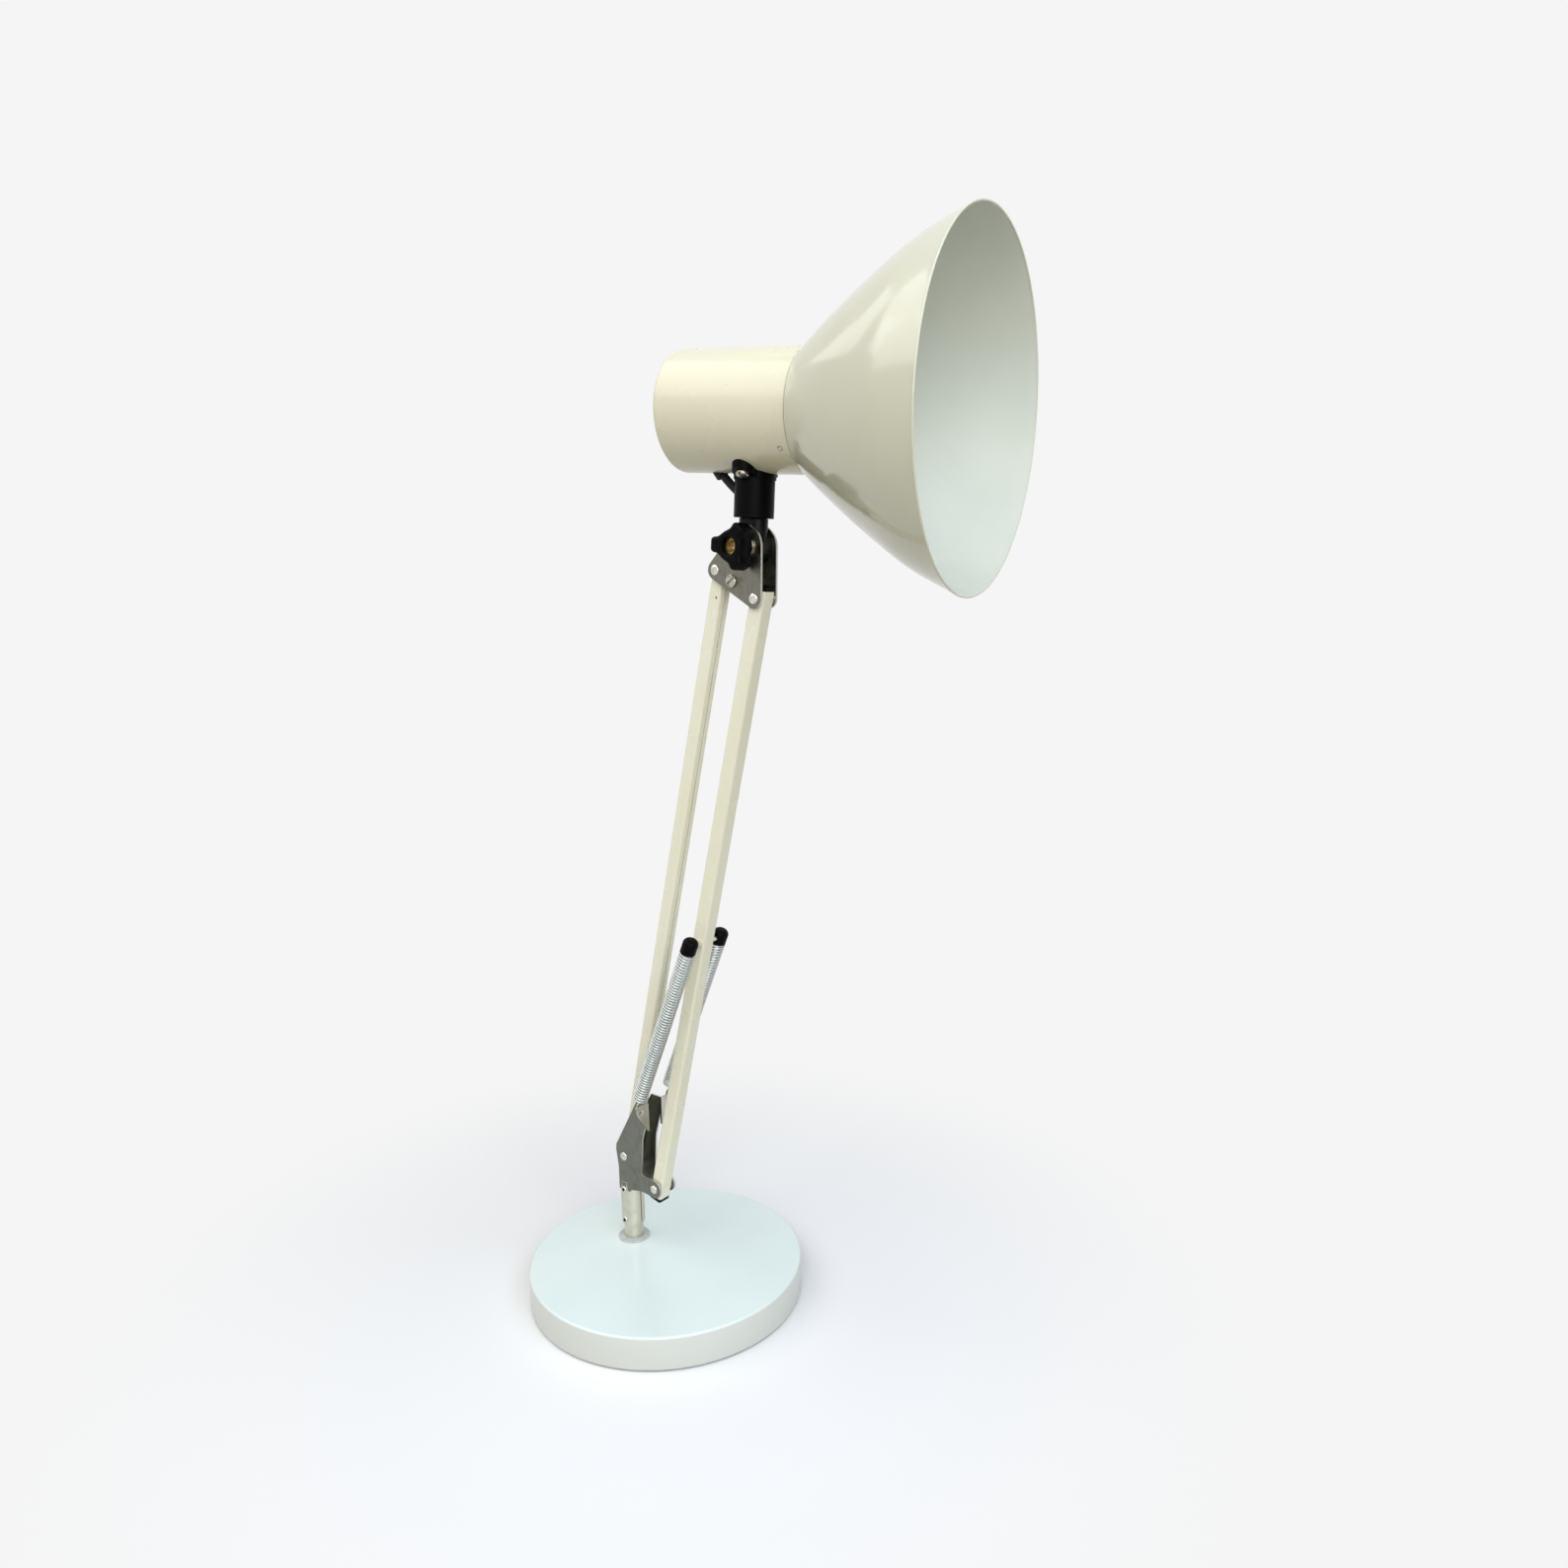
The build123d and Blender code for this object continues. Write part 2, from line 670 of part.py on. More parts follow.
# Swivel sleeve with a saddle whose two ears hug the housing
saddle_radius = housing_radius + 3.4
with BuildPart() as swivel_sleeve:
    with BuildSketch(head_front_plane.offset(-16)):
        Circle(saddle_radius)
        Circle(housing_radius, mode=Mode.SUBTRACT)
    extrude(amount=32)
    with BuildSketch(head_up_plane.offset(-saddle_radius - 1)):
        SlotCenterPoint(center=(0, 0), point=(0, 12.5), height=13.0)
        Circle(sleeve_radius + 0.6)
    extrude(amount=20, mode=Mode.INTERSECT)
    with BuildSketch(stem_plane.offset(sleeve_bottom)):
        Circle(sleeve_radius)
    extrude(amount=head_height - sleeve_bottom - saddle_radius + 3.2)
    with BuildSketch(head_front_plane.offset(-20)):
        Circle(housing_radius)
    extrude(amount=40, mode=Mode.SUBTRACT)
    with BuildSketch(stem_plane.offset(sleeve_bottom + 8.5)):
        Circle(8.0)
    extrude(amount=30, mode=Mode.SUBTRACT)
    with BuildSketch(stem_plane.offset(sleeve_bottom)):
        Circle(4.5 + running_gap)
    extrude(amount=20, mode=Mode.SUBTRACT)
    with BuildSketch(Plane(origin=flex_end, z_dir=flex_in * -1)):
        Circle(flex_radius)
    extrude(amount=12, mode=Mode.SUBTRACT)
    for side in (-1, 1):
        heading = math.radians(22.5) * side
        outward = head_side * math.sin(heading) - stem_up * math.cos(heading)
        screw_plane = Plane(origin=head_point, x_dir=head_axis, z_dir=outward)
        with BuildSketch(screw_plane):
            Circle(1.9)
        extrude(amount=saddle_radius + 2, mode=Mode.SUBTRACT)
        with BuildSketch(screw_plane.offset(saddle_radius)):
            Circle(3.9)
        extrude(amount=8, mode=Mode.SUBTRACT)
save(swivel_sleeve.part, "swivel_sleeve")

# Saddle screws, slotted, one each side
with BuildPart() as saddle_screws:
    for side in (-1, 1):
        heading = math.radians(22.5) * side
        outward = head_side * math.sin(heading) - stem_up * math.cos(heading)
        screw_plane = Plane(origin=head_point, x_dir=head_axis, z_dir=outward)
        with BuildSketch(screw_plane.offset(housing_radius - 4)):
            Circle(1.9)
        extrude(amount=7.4)
        with BuildSketch(screw_plane.offset(saddle_radius)):
            Circle(3.7)
        extrude(amount=1.7)
        with BuildSketch(screw_plane.offset(saddle_radius + 0.9)):
            Rectangle(0.9, 9.0)
        extrude(amount=2.0, mode=Mode.SUBTRACT)
save(saddle_screws.part, "saddle_screws")

# Set screw places round the front of the housing
neck_radius = housing_radius - housing_wall
set_screw_planes = []
for heading in (-49, 71, 191):
    angle = math.radians(heading)
    outward = head_side * math.sin(angle) - stem_up * math.cos(angle)
    screw_origin = head_point + head_axis * (housing_front - 5.25) + outward * (neck_radius - 2)
    set_screw_planes.append(Plane(origin=screw_origin, x_dir=head_axis, z_dir=outward))

# Head housing: drawn cup with a closed back
with BuildPart() as housing:
    with BuildSketch(head_profile_plane):
        with BuildLine():
            Polyline(
                (-housing_back, 0),
                (-housing_back, housing_radius),
                (housing_front, housing_radius),
                (housing_front, housing_radius - housing_wall),
                (-housing_back + housing_wall, housing_radius - housing_wall),
                (-housing_back + housing_wall, 0),
                close=True,
            )
        make_face()
    revolve(axis=head_line)
    outer_back = [e for e in housing.edges() if abs(e.length - 2 * math.pi * housing_radius) < 0.1]
    outer_back = [e for e in outer_back if (e.center() - head_point).dot(head_axis) < 0]
    fillet(outer_back, 3.4)
    inner_back = [
        e
        for e in housing.edges()
        if abs(e.length - 2 * math.pi * (housing_radius - housing_wall)) < 0.1
        and (e.center() - head_point).dot(head_axis) < 0
    ]
    fillet(inner_back, 2.5)
    with BuildSketch(Plane(origin=flex_start, z_dir=flex_out)):
        Circle(3.8)
    extrude(amount=14, mode=Mode.SUBTRACT)
    for side in (-1, 1):
        heading = math.radians(22.5) * side
        outward = head_side * math.sin(heading) - stem_up * math.cos(heading)
        with BuildSketch(Plane(origin=head_point, x_dir=head_axis, z_dir=outward)):
            Circle(1.9)
        extrude(amount=housing_radius + 2, mode=Mode.SUBTRACT)
    for plane in set_screw_planes:
        with BuildSketch(plane):
            Circle(1.2)
        extrude(amount=6, mode=Mode.SUBTRACT)
save(housing.part, "housing")

# Grommet round the flex in the housing wall
with BuildPart() as flex_grommet:
    with BuildSketch(Plane(origin=flex_start, z_dir=flex_out).offset(5.6)):
        Circle(3.8)
        Circle(flex_radius, mode=Mode.SUBTRACT)
    extrude(amount=4.2)
save(flex_grommet.part, "flex_grommet")

# Shade: spun reflector, its neck inside the housing
shade_steps = [(0.0, 32.4), (12.0, 42.0), (28.0, 53.7), (48.0, 67.3), (70.0, 80.6), (shade_depth, rim_radius)]
outer_points = [(housing_front + step, radius) for step, radius in shade_steps]
inner_points = []
for index, (ahead, radius) in enumerate(outer_points):
    before = outer_points[max(index - 1, 0)]
    after = outer_points[min(index + 1, len(outer_points) - 1)]
    slope = math.atan2(after[1] - before[1], after[0] - before[0])
    inner_points.append((ahead + shade_wall * math.sin(slope), radius - shade_wall * math.cos(slope)))
rim_inner = (outer_points[-1][0], rim_radius - 1.15)
inner_points[-1] = rim_inner
with BuildPart() as shade:
    with BuildSketch(head_profile_plane):
        with BuildLine():
            Spline(*outer_points)
            Line(outer_points[-1], rim_inner)
            Spline(*inner_points)
            Polyline(
                inner_points[0],
                (housing_front, neck_radius - 1.0),
                (housing_front - 11.5, neck_radius - 1.0),
                (housing_front - 11.5, neck_radius),
                (housing_front, neck_radius),
                outer_points[0],
            )
        make_face()
    revolve(axis=head_line)
    for plane in set_screw_planes:
        with BuildSketch(plane):
            Circle(1.2)
        extrude(amount=6, mode=Mode.SUBTRACT)
save(shade.part, "shade")

# Set screws that hold the neck in the housing
with BuildPart() as shade_screws:
    for plane in set_screw_planes:
        with BuildSketch(plane):
            Circle(1.2)
        extrude(amount=housing_wall + 1.9)
save(shade_screws.part, "shade_screws")

# Lamp holder on a steel plate inside the housing
holder_back = -15.0
holder_radius = 20.0
holder_length = 38.0
thread_radius = 13.3
with BuildPart() as holder_plate:
    with BuildSketch(head_front_plane.offset(holder_back - 1.2)):
        Circle(neck_radius)
        Circle(4.0, mode=Mode.SUBTRACT)
    extrude(amount=1.2)
save(holder_plate.part, "holder_plate")
with BuildPart() as lamp_holder:
    with BuildSketch(head_front_plane.offset(holder_back)):
        Circle(holder_radius)
    extrude(amount=holder_length)
    fillet(lamp_holder.edges().filter_by(GeomType.CIRCLE), 1.5)
    with BuildSketch(head_front_plane.offset(holder_back + 10)):
        Circle(thread_radius + 0.6)
    extrude(amount=holder_length, mode=Mode.SUBTRACT)
save(lamp_holder.part, "lamp_holder")
with BuildPart() as holder_shell:
    with BuildSketch(head_front_plane.offset(holder_back + 14)):
        Circle(thread_radius + 0.6)
        Circle(thread_radius, mode=Mode.SUBTRACT)
    extrude(amount=holder_length - 17)
save(holder_shell.part, "holder_shell")
with BuildPart() as holder_contact:
    with BuildSketch(head_front_plane.offset(holder_back + 10)):
        Circle(4.5)
    extrude(amount=2.0)
    with BuildSketch(head_front_plane.offset(holder_back + 12)):
        Circle(2.5)
    extrude(amount=1.5)
    fillet(holder_contact.edges().filter_by(GeomType.CIRCLE).sort_by(head_line)[-1], 1.0)
save(holder_contact.part, "holder_contact")

print("shade mouth centre", head_place(housing_front + shade_depth, 0))
print("lamp holder mouth", head_place(holder_back + holder_length - 3, 0), "axis", head_axis)
print("upper pivots", upper_front, upper_rear, "spring anchor", anchor)
print("lower rear pivot", lower_rear, "tilt pivot", pivot, "stem direction", stem_up)
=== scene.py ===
import json
import math

import bmesh
import bpy
from mathutils import Matrix, Vector


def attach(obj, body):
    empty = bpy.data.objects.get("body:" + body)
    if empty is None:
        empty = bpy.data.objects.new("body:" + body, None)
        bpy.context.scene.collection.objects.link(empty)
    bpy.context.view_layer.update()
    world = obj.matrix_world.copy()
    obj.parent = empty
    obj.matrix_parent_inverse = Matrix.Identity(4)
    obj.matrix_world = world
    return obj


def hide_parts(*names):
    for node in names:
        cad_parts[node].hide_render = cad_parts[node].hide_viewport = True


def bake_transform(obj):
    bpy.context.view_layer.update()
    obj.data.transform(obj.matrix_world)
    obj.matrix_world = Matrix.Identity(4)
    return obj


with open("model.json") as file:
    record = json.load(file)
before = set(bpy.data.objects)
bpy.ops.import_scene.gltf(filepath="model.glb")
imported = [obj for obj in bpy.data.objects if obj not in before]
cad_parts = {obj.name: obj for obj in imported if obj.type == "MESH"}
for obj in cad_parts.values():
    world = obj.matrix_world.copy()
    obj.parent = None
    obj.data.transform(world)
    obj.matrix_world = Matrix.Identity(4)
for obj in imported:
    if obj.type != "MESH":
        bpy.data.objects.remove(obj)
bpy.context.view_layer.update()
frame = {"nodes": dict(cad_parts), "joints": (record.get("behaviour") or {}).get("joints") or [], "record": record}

# Desk lamp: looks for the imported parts, in metres, with the parts' own origin and axes.
mm = 0.001
scene = bpy.context.scene
joints = {joint["name"]: joint for joint in frame["joints"]}

# Camera, at the photograph's own place, with its optical axis a little off the middle
image_size = 1588
focal_length_px = 1163.77
optical_axis_px = (827.53, 866.49)
camera_place = Vector((544.88, -511.03, 463.59)) * mm
camera_azimuth = math.radians(36.81)
camera_pitch = math.radians(12.64)
camera_roll = math.radians(-0.15)


def make_camera():
    data = bpy.data.cameras.new("camera")
    data.sensor_width = 36.0
    data.lens = data.sensor_width * focal_length_px / image_size
    data.shift_x = (image_size / 2 - optical_axis_px[0]) / image_size
    data.shift_y = (optical_axis_px[1] - image_size / 2) / image_size
    data.clip_end = 50.0
    camera = bpy.data.objects.new("camera", data)
    scene.collection.objects.link(camera)
    ahead = Vector(
        (
            -math.sin(camera_azimuth) * math.cos(camera_pitch),
            math.cos(camera_azimuth) * math.cos(camera_pitch),
            -math.sin(camera_pitch),
        )
    )
    level = Vector((math.cos(camera_azimuth), math.sin(camera_azimuth), 0.0))
    above = level.cross(ahead)
    right = level * math.cos(camera_roll) + above * math.sin(camera_roll)
    up = above * math.cos(camera_roll) - level * math.sin(camera_roll)
    turn = Matrix((right, up, -ahead)).transposed().to_4x4()
    camera.matrix_world = Matrix.Translation(camera_place) @ turn
    scene.camera = camera


make_camera()

# Base
base_radius = 92.0 * mm
base_height = 23.5 * mm
base_centre = Vector((35.8, -4.1, 0.0)) * mm
cover_wall = 1.5 * mm
pad_radius = 88.0 * mm
pad_thickness = 2.0 * mm
bush_radius = 8.5 * mm

# Brackets and arm
plate_outer = 7.4 * mm
shell_radius = 8.0 * mm
plate_foot = 61.9 * mm
post_pin_heights = (39.4 * mm, 62.6 * mm)
lower_front = Vector(joints["arm_lean"]["pos_m"])
lower_rear = Vector(joints["rear_arm_lean"]["pos_m"])
upper_front = Vector(joints["upper_bracket_level"]["pos_m"])
upper_rear = upper_front + lower_rear - lower_front
arm_direction = (upper_front - lower_front).normalized()
rivet_radius = 2.0 * mm
rivet_head_radius = 3.0 * mm
rivet_head_height = 1.0 * mm

# Springs
spring_offset = 14.0 * mm
wire_radius = 0.64 * mm
coil_radius = 4.46 * mm
coil_turns = 58
coil_start = 9.0 * mm
hook_radius = 2.2 * mm
hook_top = Vector((21.95, 0.0, 131.5)) * mm
hook_hole_height = 128.4 * mm
lug_front = 25.2 * mm
anchor_along = 188.0 * mm
anchor_ahead = 1.4 * mm
arm_ahead = Vector((arm_direction.z, 0.0, -arm_direction.x))
anchor = lower_front + arm_direction * anchor_along + arm_ahead * anchor_ahead
plug_below_anchor = 4.5 * mm
leg_bend = 5.5 * mm

# Knob and head
pivot = Vector(joints["head_tilt"]["pos_m"])
stem_up = Vector(joints["head_turn"]["axis"]).normalized()
stem_ahead = Vector((stem_up.z, 0.0, -stem_up.x))
head_turned = math.radians(10.1)
head_axis = stem_ahead * math.cos(head_turned) + Vector((0, 1, 0)) * math.sin(head_turned)
head_side = stem_ahead * -math.sin(head_turned) + Vector((0, 1, 0)) * math.cos(head_turned)
head_height = 71.2 * mm
head_point = pivot + stem_up * head_height
housing_radius = 32.3 * mm
housing_wall = 0.9 * mm
housing_back = 47.5 * mm
housing_front = 33.5 * mm
shade_wall = 1.0 * mm
shade_depth = 95.5 * mm
rim_radius = 91.5 * mm
knob_inner = 8.9 * mm
knob_outer = 21.5 * mm
knob_reach = 13.2 * mm
set_screw_headings = (-49, 71, 191)
set_screw_back = 5.25 * mm
saddle_screw_heading = math.radians(22.5)
saddle_radius = housing_radius + 3.4 * mm
shade_profile_mm = [(0.0, 32.4), (12.0, 42.0), (28.0, 53.7), (48.0, 67.3), (70.0, 80.6), (95.5, 91.5)]
flex_radius = 2.4 * mm
flex_points_mm = [(-27.0, -26.0), (-18.8, -36.2), (-8.4, -43.4)]

# Sockets of a colour mix node, which has others of the same name for its other data types
mix_first, mix_second, mix_result = 6, 7, 2


def srgb(red, green, blue):
    """A colour as it shows on a screen, 0 to 255, turned into linear light."""
    linear = []
    for value in (red, green, blue):
        share = value / 255
        linear.append(share / 12.92 if share <= 0.04045 else ((share + 0.055) / 1.055) ** 2.4)
    return (*linear, 1.0)


class Graph:
    """A material's nodes, with short calls for the few kinds used here."""

    def __init__(self, name):
        self.material = bpy.data.materials.new(name)
        self.material.use_nodes = True
        self.tree = self.material.node_tree
        self.bsdf = self.tree.nodes["Principled BSDF"]
        self.coordinates = self.add("ShaderNodeTexCoord")
        self.place = self.coordinates.outputs["Object"]

    def add(self, kind, **settings):
        node = self.tree.nodes.new(kind)
        for name, value in settings.items():
            setattr(node, name, value)
        return node

    def feed(self, socket, value):
        if isinstance(value, bpy.types.NodeSocket):
            self.tree.links.new(value, socket)
        else:
            socket.default_value = value

    def stretched(self, across):
        """Object coordinates scaled by a factor along each axis."""
        mapping = self.add("ShaderNodeMapping")
        self.feed(mapping.inputs["Vector"], self.place)
        mapping.inputs["Scale"].default_value = across
        return mapping.outputs["Vector"]

    def noise(self, feature, detail=2.0, place=None):
        """Cloudy values from 0 to 1, with blots of about the given size in metres."""
        node = self.add("ShaderNodeTexNoise")
        self.feed(node.inputs["Vector"], place or self.place)
        node.inputs["Scale"].default_value = 1.0 / feature
        node.inputs["Detail"].default_value = detail
        return node.outputs["Fac"]

    def ramp(self, value, low, high, to_low=0.0, to_high=1.0):
        node = self.add("ShaderNodeMapRange", interpolation_type="SMOOTHSTEP")
        self.feed(node.inputs["Value"], value)
        node.inputs["From Min"].default_value = low
        node.inputs["From Max"].default_value = high
        node.inputs["To Min"].default_value = to_low
        node.inputs["To Max"].default_value = to_high
        return node.outputs["Result"]

    def math(self, operation, first, second=0.0):
        node = self.add("ShaderNodeMath", operation=operation)
        self.feed(node.inputs[0], first)
        self.feed(node.inputs[1], second)
        return node.outputs["Value"]

    def mix(self, share, first, second):
        node = self.add("ShaderNodeMix", data_type="RGBA")
        self.feed(node.inputs["Factor"], share)
        self.feed(node.inputs[mix_first], first)
        self.feed(node.inputs[mix_second], second)
        return node.outputs[mix_result]

    def near(self, point, reach, ragged, size):
        """1 at a point, 0 beyond its reach, with a ragged edge."""
        node = self.add("ShaderNodeVectorMath", operation="DISTANCE")
        self.feed(node.inputs[0], self.place)
        node.inputs[1].default_value = point
        torn = self.math("MULTIPLY", self.noise(size), ragged)
        return self.ramp(self.math("ADD", node.outputs["Value"], torn), reach, reach * 1.25, 1.0, 0.0)

    def bump(self, height, distance, strength=1.0, under=None):
        node = self.add("ShaderNodeBump")
        self.feed(node.inputs["Height"], height)
        node.inputs["Distance"].default_value = distance
        node.inputs["Strength"].default_value = strength
        if under:
            self.feed(node.inputs["Normal"], under)
        return node.outputs["Normal"]

    def rounded(self, radius):
        """Edges that catch light as if they were rounded."""
        node = self.add("ShaderNodeBevel", samples=4)
        node.inputs["Radius"].default_value = radius
        return node.outputs["Normal"]

    def finish(self, colour, roughness, normal=None, **fixed):
        self.feed(self.bsdf.inputs["Base Color"], colour)
        self.feed(self.bsdf.inputs["Roughness"], roughness)
        if normal:
            self.feed(self.bsdf.inputs["Normal"], normal)
        for name, value in fixed.items():
            self.bsdf.inputs[name.replace("_", " ")].default_value = value
        return self.material


def enamel(name, colour, aged, chip, gloss, peel, spots=(), chip_level=0.79, painted_side_tint=None):
    """Baked enamel: slow yellowing, faint orange peel, rare small chips and any named marks."""
    graph = Graph(name)
    tint = graph.mix(graph.ramp(graph.noise(60 * mm, 3), 0.35, 0.7), colour, aged)
    if painted_side_tint:
        # Faces turning from up take another tint than the top: painted light, top and sides coloured apart by how
        # light falls on them
        split = graph.add("ShaderNodeSeparateXYZ")
        graph.feed(split.inputs["Vector"], graph.coordinates.outputs["Normal"])
        tint = graph.mix(graph.ramp(split.outputs["Z"], 0.3, 0.9, 1.0, 0.0), tint, painted_side_tint)
    fine = graph.noise(3 * mm, 4)
    worn = graph.ramp(fine, chip_level, chip_level + 0.02)
    for point, reach in spots:
        worn = graph.math("MAXIMUM", worn, graph.near(point, reach, reach, 0.8 * mm))
    surface = graph.mix(worn, tint, chip)
    roughness = graph.ramp(graph.noise(25 * mm, 3), 0.3, 0.7, gloss, gloss + 0.10)
    roughness = graph.math("ADD", roughness, graph.math("MULTIPLY", worn, 0.35))
    waves = graph.bump(graph.noise(peel), 0.01 * mm, 0.3)
    dents = graph.bump(graph.math("SUBTRACT", 1.0, worn), 0.05 * mm, 0.6, waves)
    return graph.finish(surface, roughness, dents, Coat_Weight=0.35, Coat_Roughness=0.06)


def plate_steel(name, colour, cut_edge_highlight, stain, stained=None):
    """Rolled sheet steel: fine streaks up the sheet, cut edges lighter as a painted highlight, and dull patches.
    """
    graph = Graph(name)
    streaks = graph.noise(0.35 * mm, 3, graph.stretched((1.0, 1.0, 0.04)))
    patches = graph.noise(7 * mm, 4)
    base = graph.mix(graph.ramp(streaks, 0.3, 0.7), colour, [0.72 * c for c in colour[:3]] + [1.0])
    base = graph.mix(graph.ramp(patches, 0.5, 0.75, 0.0, 0.55), base, stain)
    if stained:
        base = graph.mix(graph.near(stained[0], stained[1], stained[1], 1.2 * mm), base, stain)
    # Faces turned from the sheet's broad sides, the cut edges, take a lighter colour: a painted highlight
    split = graph.add("ShaderNodeSeparateXYZ")
    graph.feed(split.inputs["Vector"], graph.coordinates.outputs["Normal"])
    edge = graph.ramp(graph.math("ABSOLUTE", split.outputs["Y"]), 0.55, 0.8, 0.75, 0.0)
    base = graph.mix(edge, base, cut_edge_highlight)
    roughness = graph.ramp(patches, 0.3, 0.75, 0.30, 0.52)
    normal = graph.bump(streaks, 0.01 * mm, 0.35, graph.rounded(0.25 * mm))
    return graph.finish(base, roughness, normal, Metallic=1.0)


def bright_metal(name, colour, dull, roughness, feature):
    """Small plated or polished metal parts, a little tarnished."""
    graph = Graph(name)
    clouds = graph.noise(feature, 4)
    base = graph.mix(graph.ramp(clouds, 0.42, 0.72), colour, dull)
    rough = graph.ramp(clouds, 0.3, 0.75, roughness, roughness + 0.16)
    normal = graph.bump(graph.noise(feature * 0.2), 0.01 * mm, 0.3, graph.rounded(0.15 * mm))
    return graph.finish(base, rough, normal, Metallic=1.0)


def moulded(name, colour, bloom, roughness, grain, grain_depth=0.02, edge=0.35, **fixed):
    """Plastic, rubber or paint with a fine grain, dusty patches and softened edges."""
    graph = Graph(name)
    clouds = graph.noise(6 * mm, 4)
    base = graph.mix(graph.ramp(clouds, 0.45, 0.75), colour, bloom)
    rough = graph.ramp(clouds, 0.3, 0.75, roughness, roughness + 0.14)
    normal = graph.bump(graph.noise(grain, 3), grain_depth * mm, 0.5, graph.rounded(edge * mm))
    return graph.finish(base, rough, normal, **fixed)


def shade_lining(name, colour, aged):
    """White inside of the shade: thin matt enamel with faint ripples and dust."""
    dust_colour = srgb(176, 170, 158)
    graph = Graph(name)
    base = graph.mix(graph.ramp(graph.noise(45 * mm, 3), 0.35, 0.7), colour, aged)
    dust = graph.ramp(graph.noise(1.1 * mm, 2), 0.74, 0.78, 0.0, 0.35)
    base = graph.mix(dust, base, dust_colour)
    rough = graph.ramp(graph.noise(30 * mm, 3), 0.3, 0.7, 0.46, 0.58)
    normal = graph.bump(graph.noise(1.6 * mm, 2), 0.02 * mm, 0.4)
    return graph.finish(base, rough, normal, Specular_IOR_Level=0.3)


front_scratches = (
    (Vector((107.4, -5.0, 364.7)) * mm, 1.1 * mm),
    (Vector((112.0, -5.0, 365.7)) * mm, 0.9 * mm),
)
cream = enamel(
    "cream_enamel", srgb(243, 240, 218), srgb(241, 236, 211), srgb(120, 96, 70), 0.20, 1.5 * mm,
    front_scratches, 0.80,
)
housing_cream = enamel(
    "housing_enamel", srgb(224, 219, 192), srgb(222, 216, 187), srgb(120, 96, 70), 0.24, 1.5 * mm, (), 0.80
)
shade_cream = enamel(
    "shade_enamel", srgb(214, 213, 190), srgb(212, 209, 185), srgb(150, 132, 104), 0.12, 2.5 * mm, (), 0.83
)
# The base's last colour is its painted side tint: painted light, the sides less blue-green than the top
base_white = enamel(
    "base_enamel", srgb(232, 245, 242), srgb(229, 242, 239), srgb(150, 150, 140), 0.30, 0.9 * mm, (), 0.77,
    srgb(234, 238, 232),
)
lining = shade_lining("shade_lining", srgb(217, 220, 209), srgb(213, 216, 204))
# Dark material for the seam between housing and shade: painted shadow in the gap
seam_painted_shadow = moulded("seam_painted_shadow", srgb(54, 50, 42), srgb(74, 68, 58), 0.7, 0.4 * mm)
# The second colour of each plate steel is the painted highlight on its cut edges
steel_plate = plate_steel(
    "bracket_steel", srgb(128, 130, 121), srgb(216, 214, 204), srgb(108, 100, 80)
)
upper_steel = plate_steel(
    "upper_plate_steel", srgb(134, 132, 121), srgb(210, 208, 197), srgb(104, 84, 58),
    (pivot + Vector((9.5, -7.4, -1.5)) * mm, 3.4 * mm),
)
# The post's own steel, also laid on the plates' rolled half shells as a painted reflection
post_steel_and_shell_sheen = bright_metal("post_steel_and_shell_sheen", srgb(212, 208, 192), srgb(200, 196, 180), 0.34, 6 * mm)
rivet_steel = bright_metal("rivet_steel", srgb(222, 220, 212), srgb(180, 174, 162), 0.16, 2.5 * mm)
screw_steel = bright_metal("screw_steel", srgb(190, 187, 177), srgb(140, 132, 116), 0.26, 2 * mm)
zinc_wire = bright_metal("spring_wire", srgb(194, 198, 195), srgb(184, 188, 184), 0.26, 4 * mm)
old_brass = bright_metal("brass", srgb(196, 164, 96), srgb(120, 96, 56), 0.30, 2 * mm)
cast_iron = moulded("cast_weight", srgb(70, 70, 72), srgb(92, 88, 84), 0.6, 1 * mm, 0.2, Metallic=0.6)
black_plastic = moulded(
    "black_plastic", srgb(5, 6, 5), srgb(10, 10, 9), 0.34, 0.5 * mm, Specular_IOR_Level=0.05
)
black_metal = moulded(
    "black_metal", srgb(8, 8, 8), srgb(20, 19, 17), 0.26, 0.8 * mm, 0.02, 0.3, Specular_IOR_Level=0.15
)
holder_black = moulded("holder_black", srgb(22, 20, 18), srgb(32, 29, 26), 0.18, 1.5 * mm)
flex_rubber = moulded(
    "flex_rubber", srgb(12, 12, 12), srgb(24, 23, 22), 0.48, 0.4 * mm, 0.03, Specular_IOR_Level=0.25
)
bush_grey = moulded("bush_grey", srgb(190, 195, 193), srgb(172, 177, 175), 0.36, 0.6 * mm)
felt = moulded("felt", srgb(46, 46, 46), srgb(64, 62, 60), 0.86, 0.35 * mm, 0.25)

slot_materials = {
    "base_enamel": base_white,
    "cast_weight": cast_iron,
    "felt": felt,
    "grey_bush": bush_grey,
    "bracket_steel": steel_plate,
    "rivet_steel": rivet_steel,
    "screw_steel": screw_steel,
    "spring_wire": zinc_wire,
    "cream_enamel": cream,
    "black_plastic": black_plastic,
    "black_metal": black_metal,
    "brass": old_brass,
    "flex_black": flex_rubber,
    "holder_black": holder_black,
}
for entry in frame["record"]["subparts"]:
    node = frame["nodes"][entry["node"]]
    node.data.materials.clear()
    node.data.materials.append(slot_materials[entry["material_slot"]])
for name in ("upper_plate_near", "upper_plate_far"):
    frame["nodes"][name].data.materials[0] = upper_steel
frame["nodes"]["swivel_pin"].data.materials[0] = post_steel_and_shell_sheen

# The rolled half shells round the post take the post's smoother, brighter steel: the brightness is a painted
# reflection, as they are the same steel as the flat plates
for name in ("bracket_plate_near", "bracket_plate_far"):
    plate = frame["nodes"][name]
    plate.data.materials.append(post_steel_and_shell_sheen)
    for face in plate.data.polygons:
        centre = plate.matrix_world @ face.center
        if math.hypot(centre.x, centre.y) < shell_radius + 0.1 * mm and centre.z < plate_foot:
            face.material_index = 1


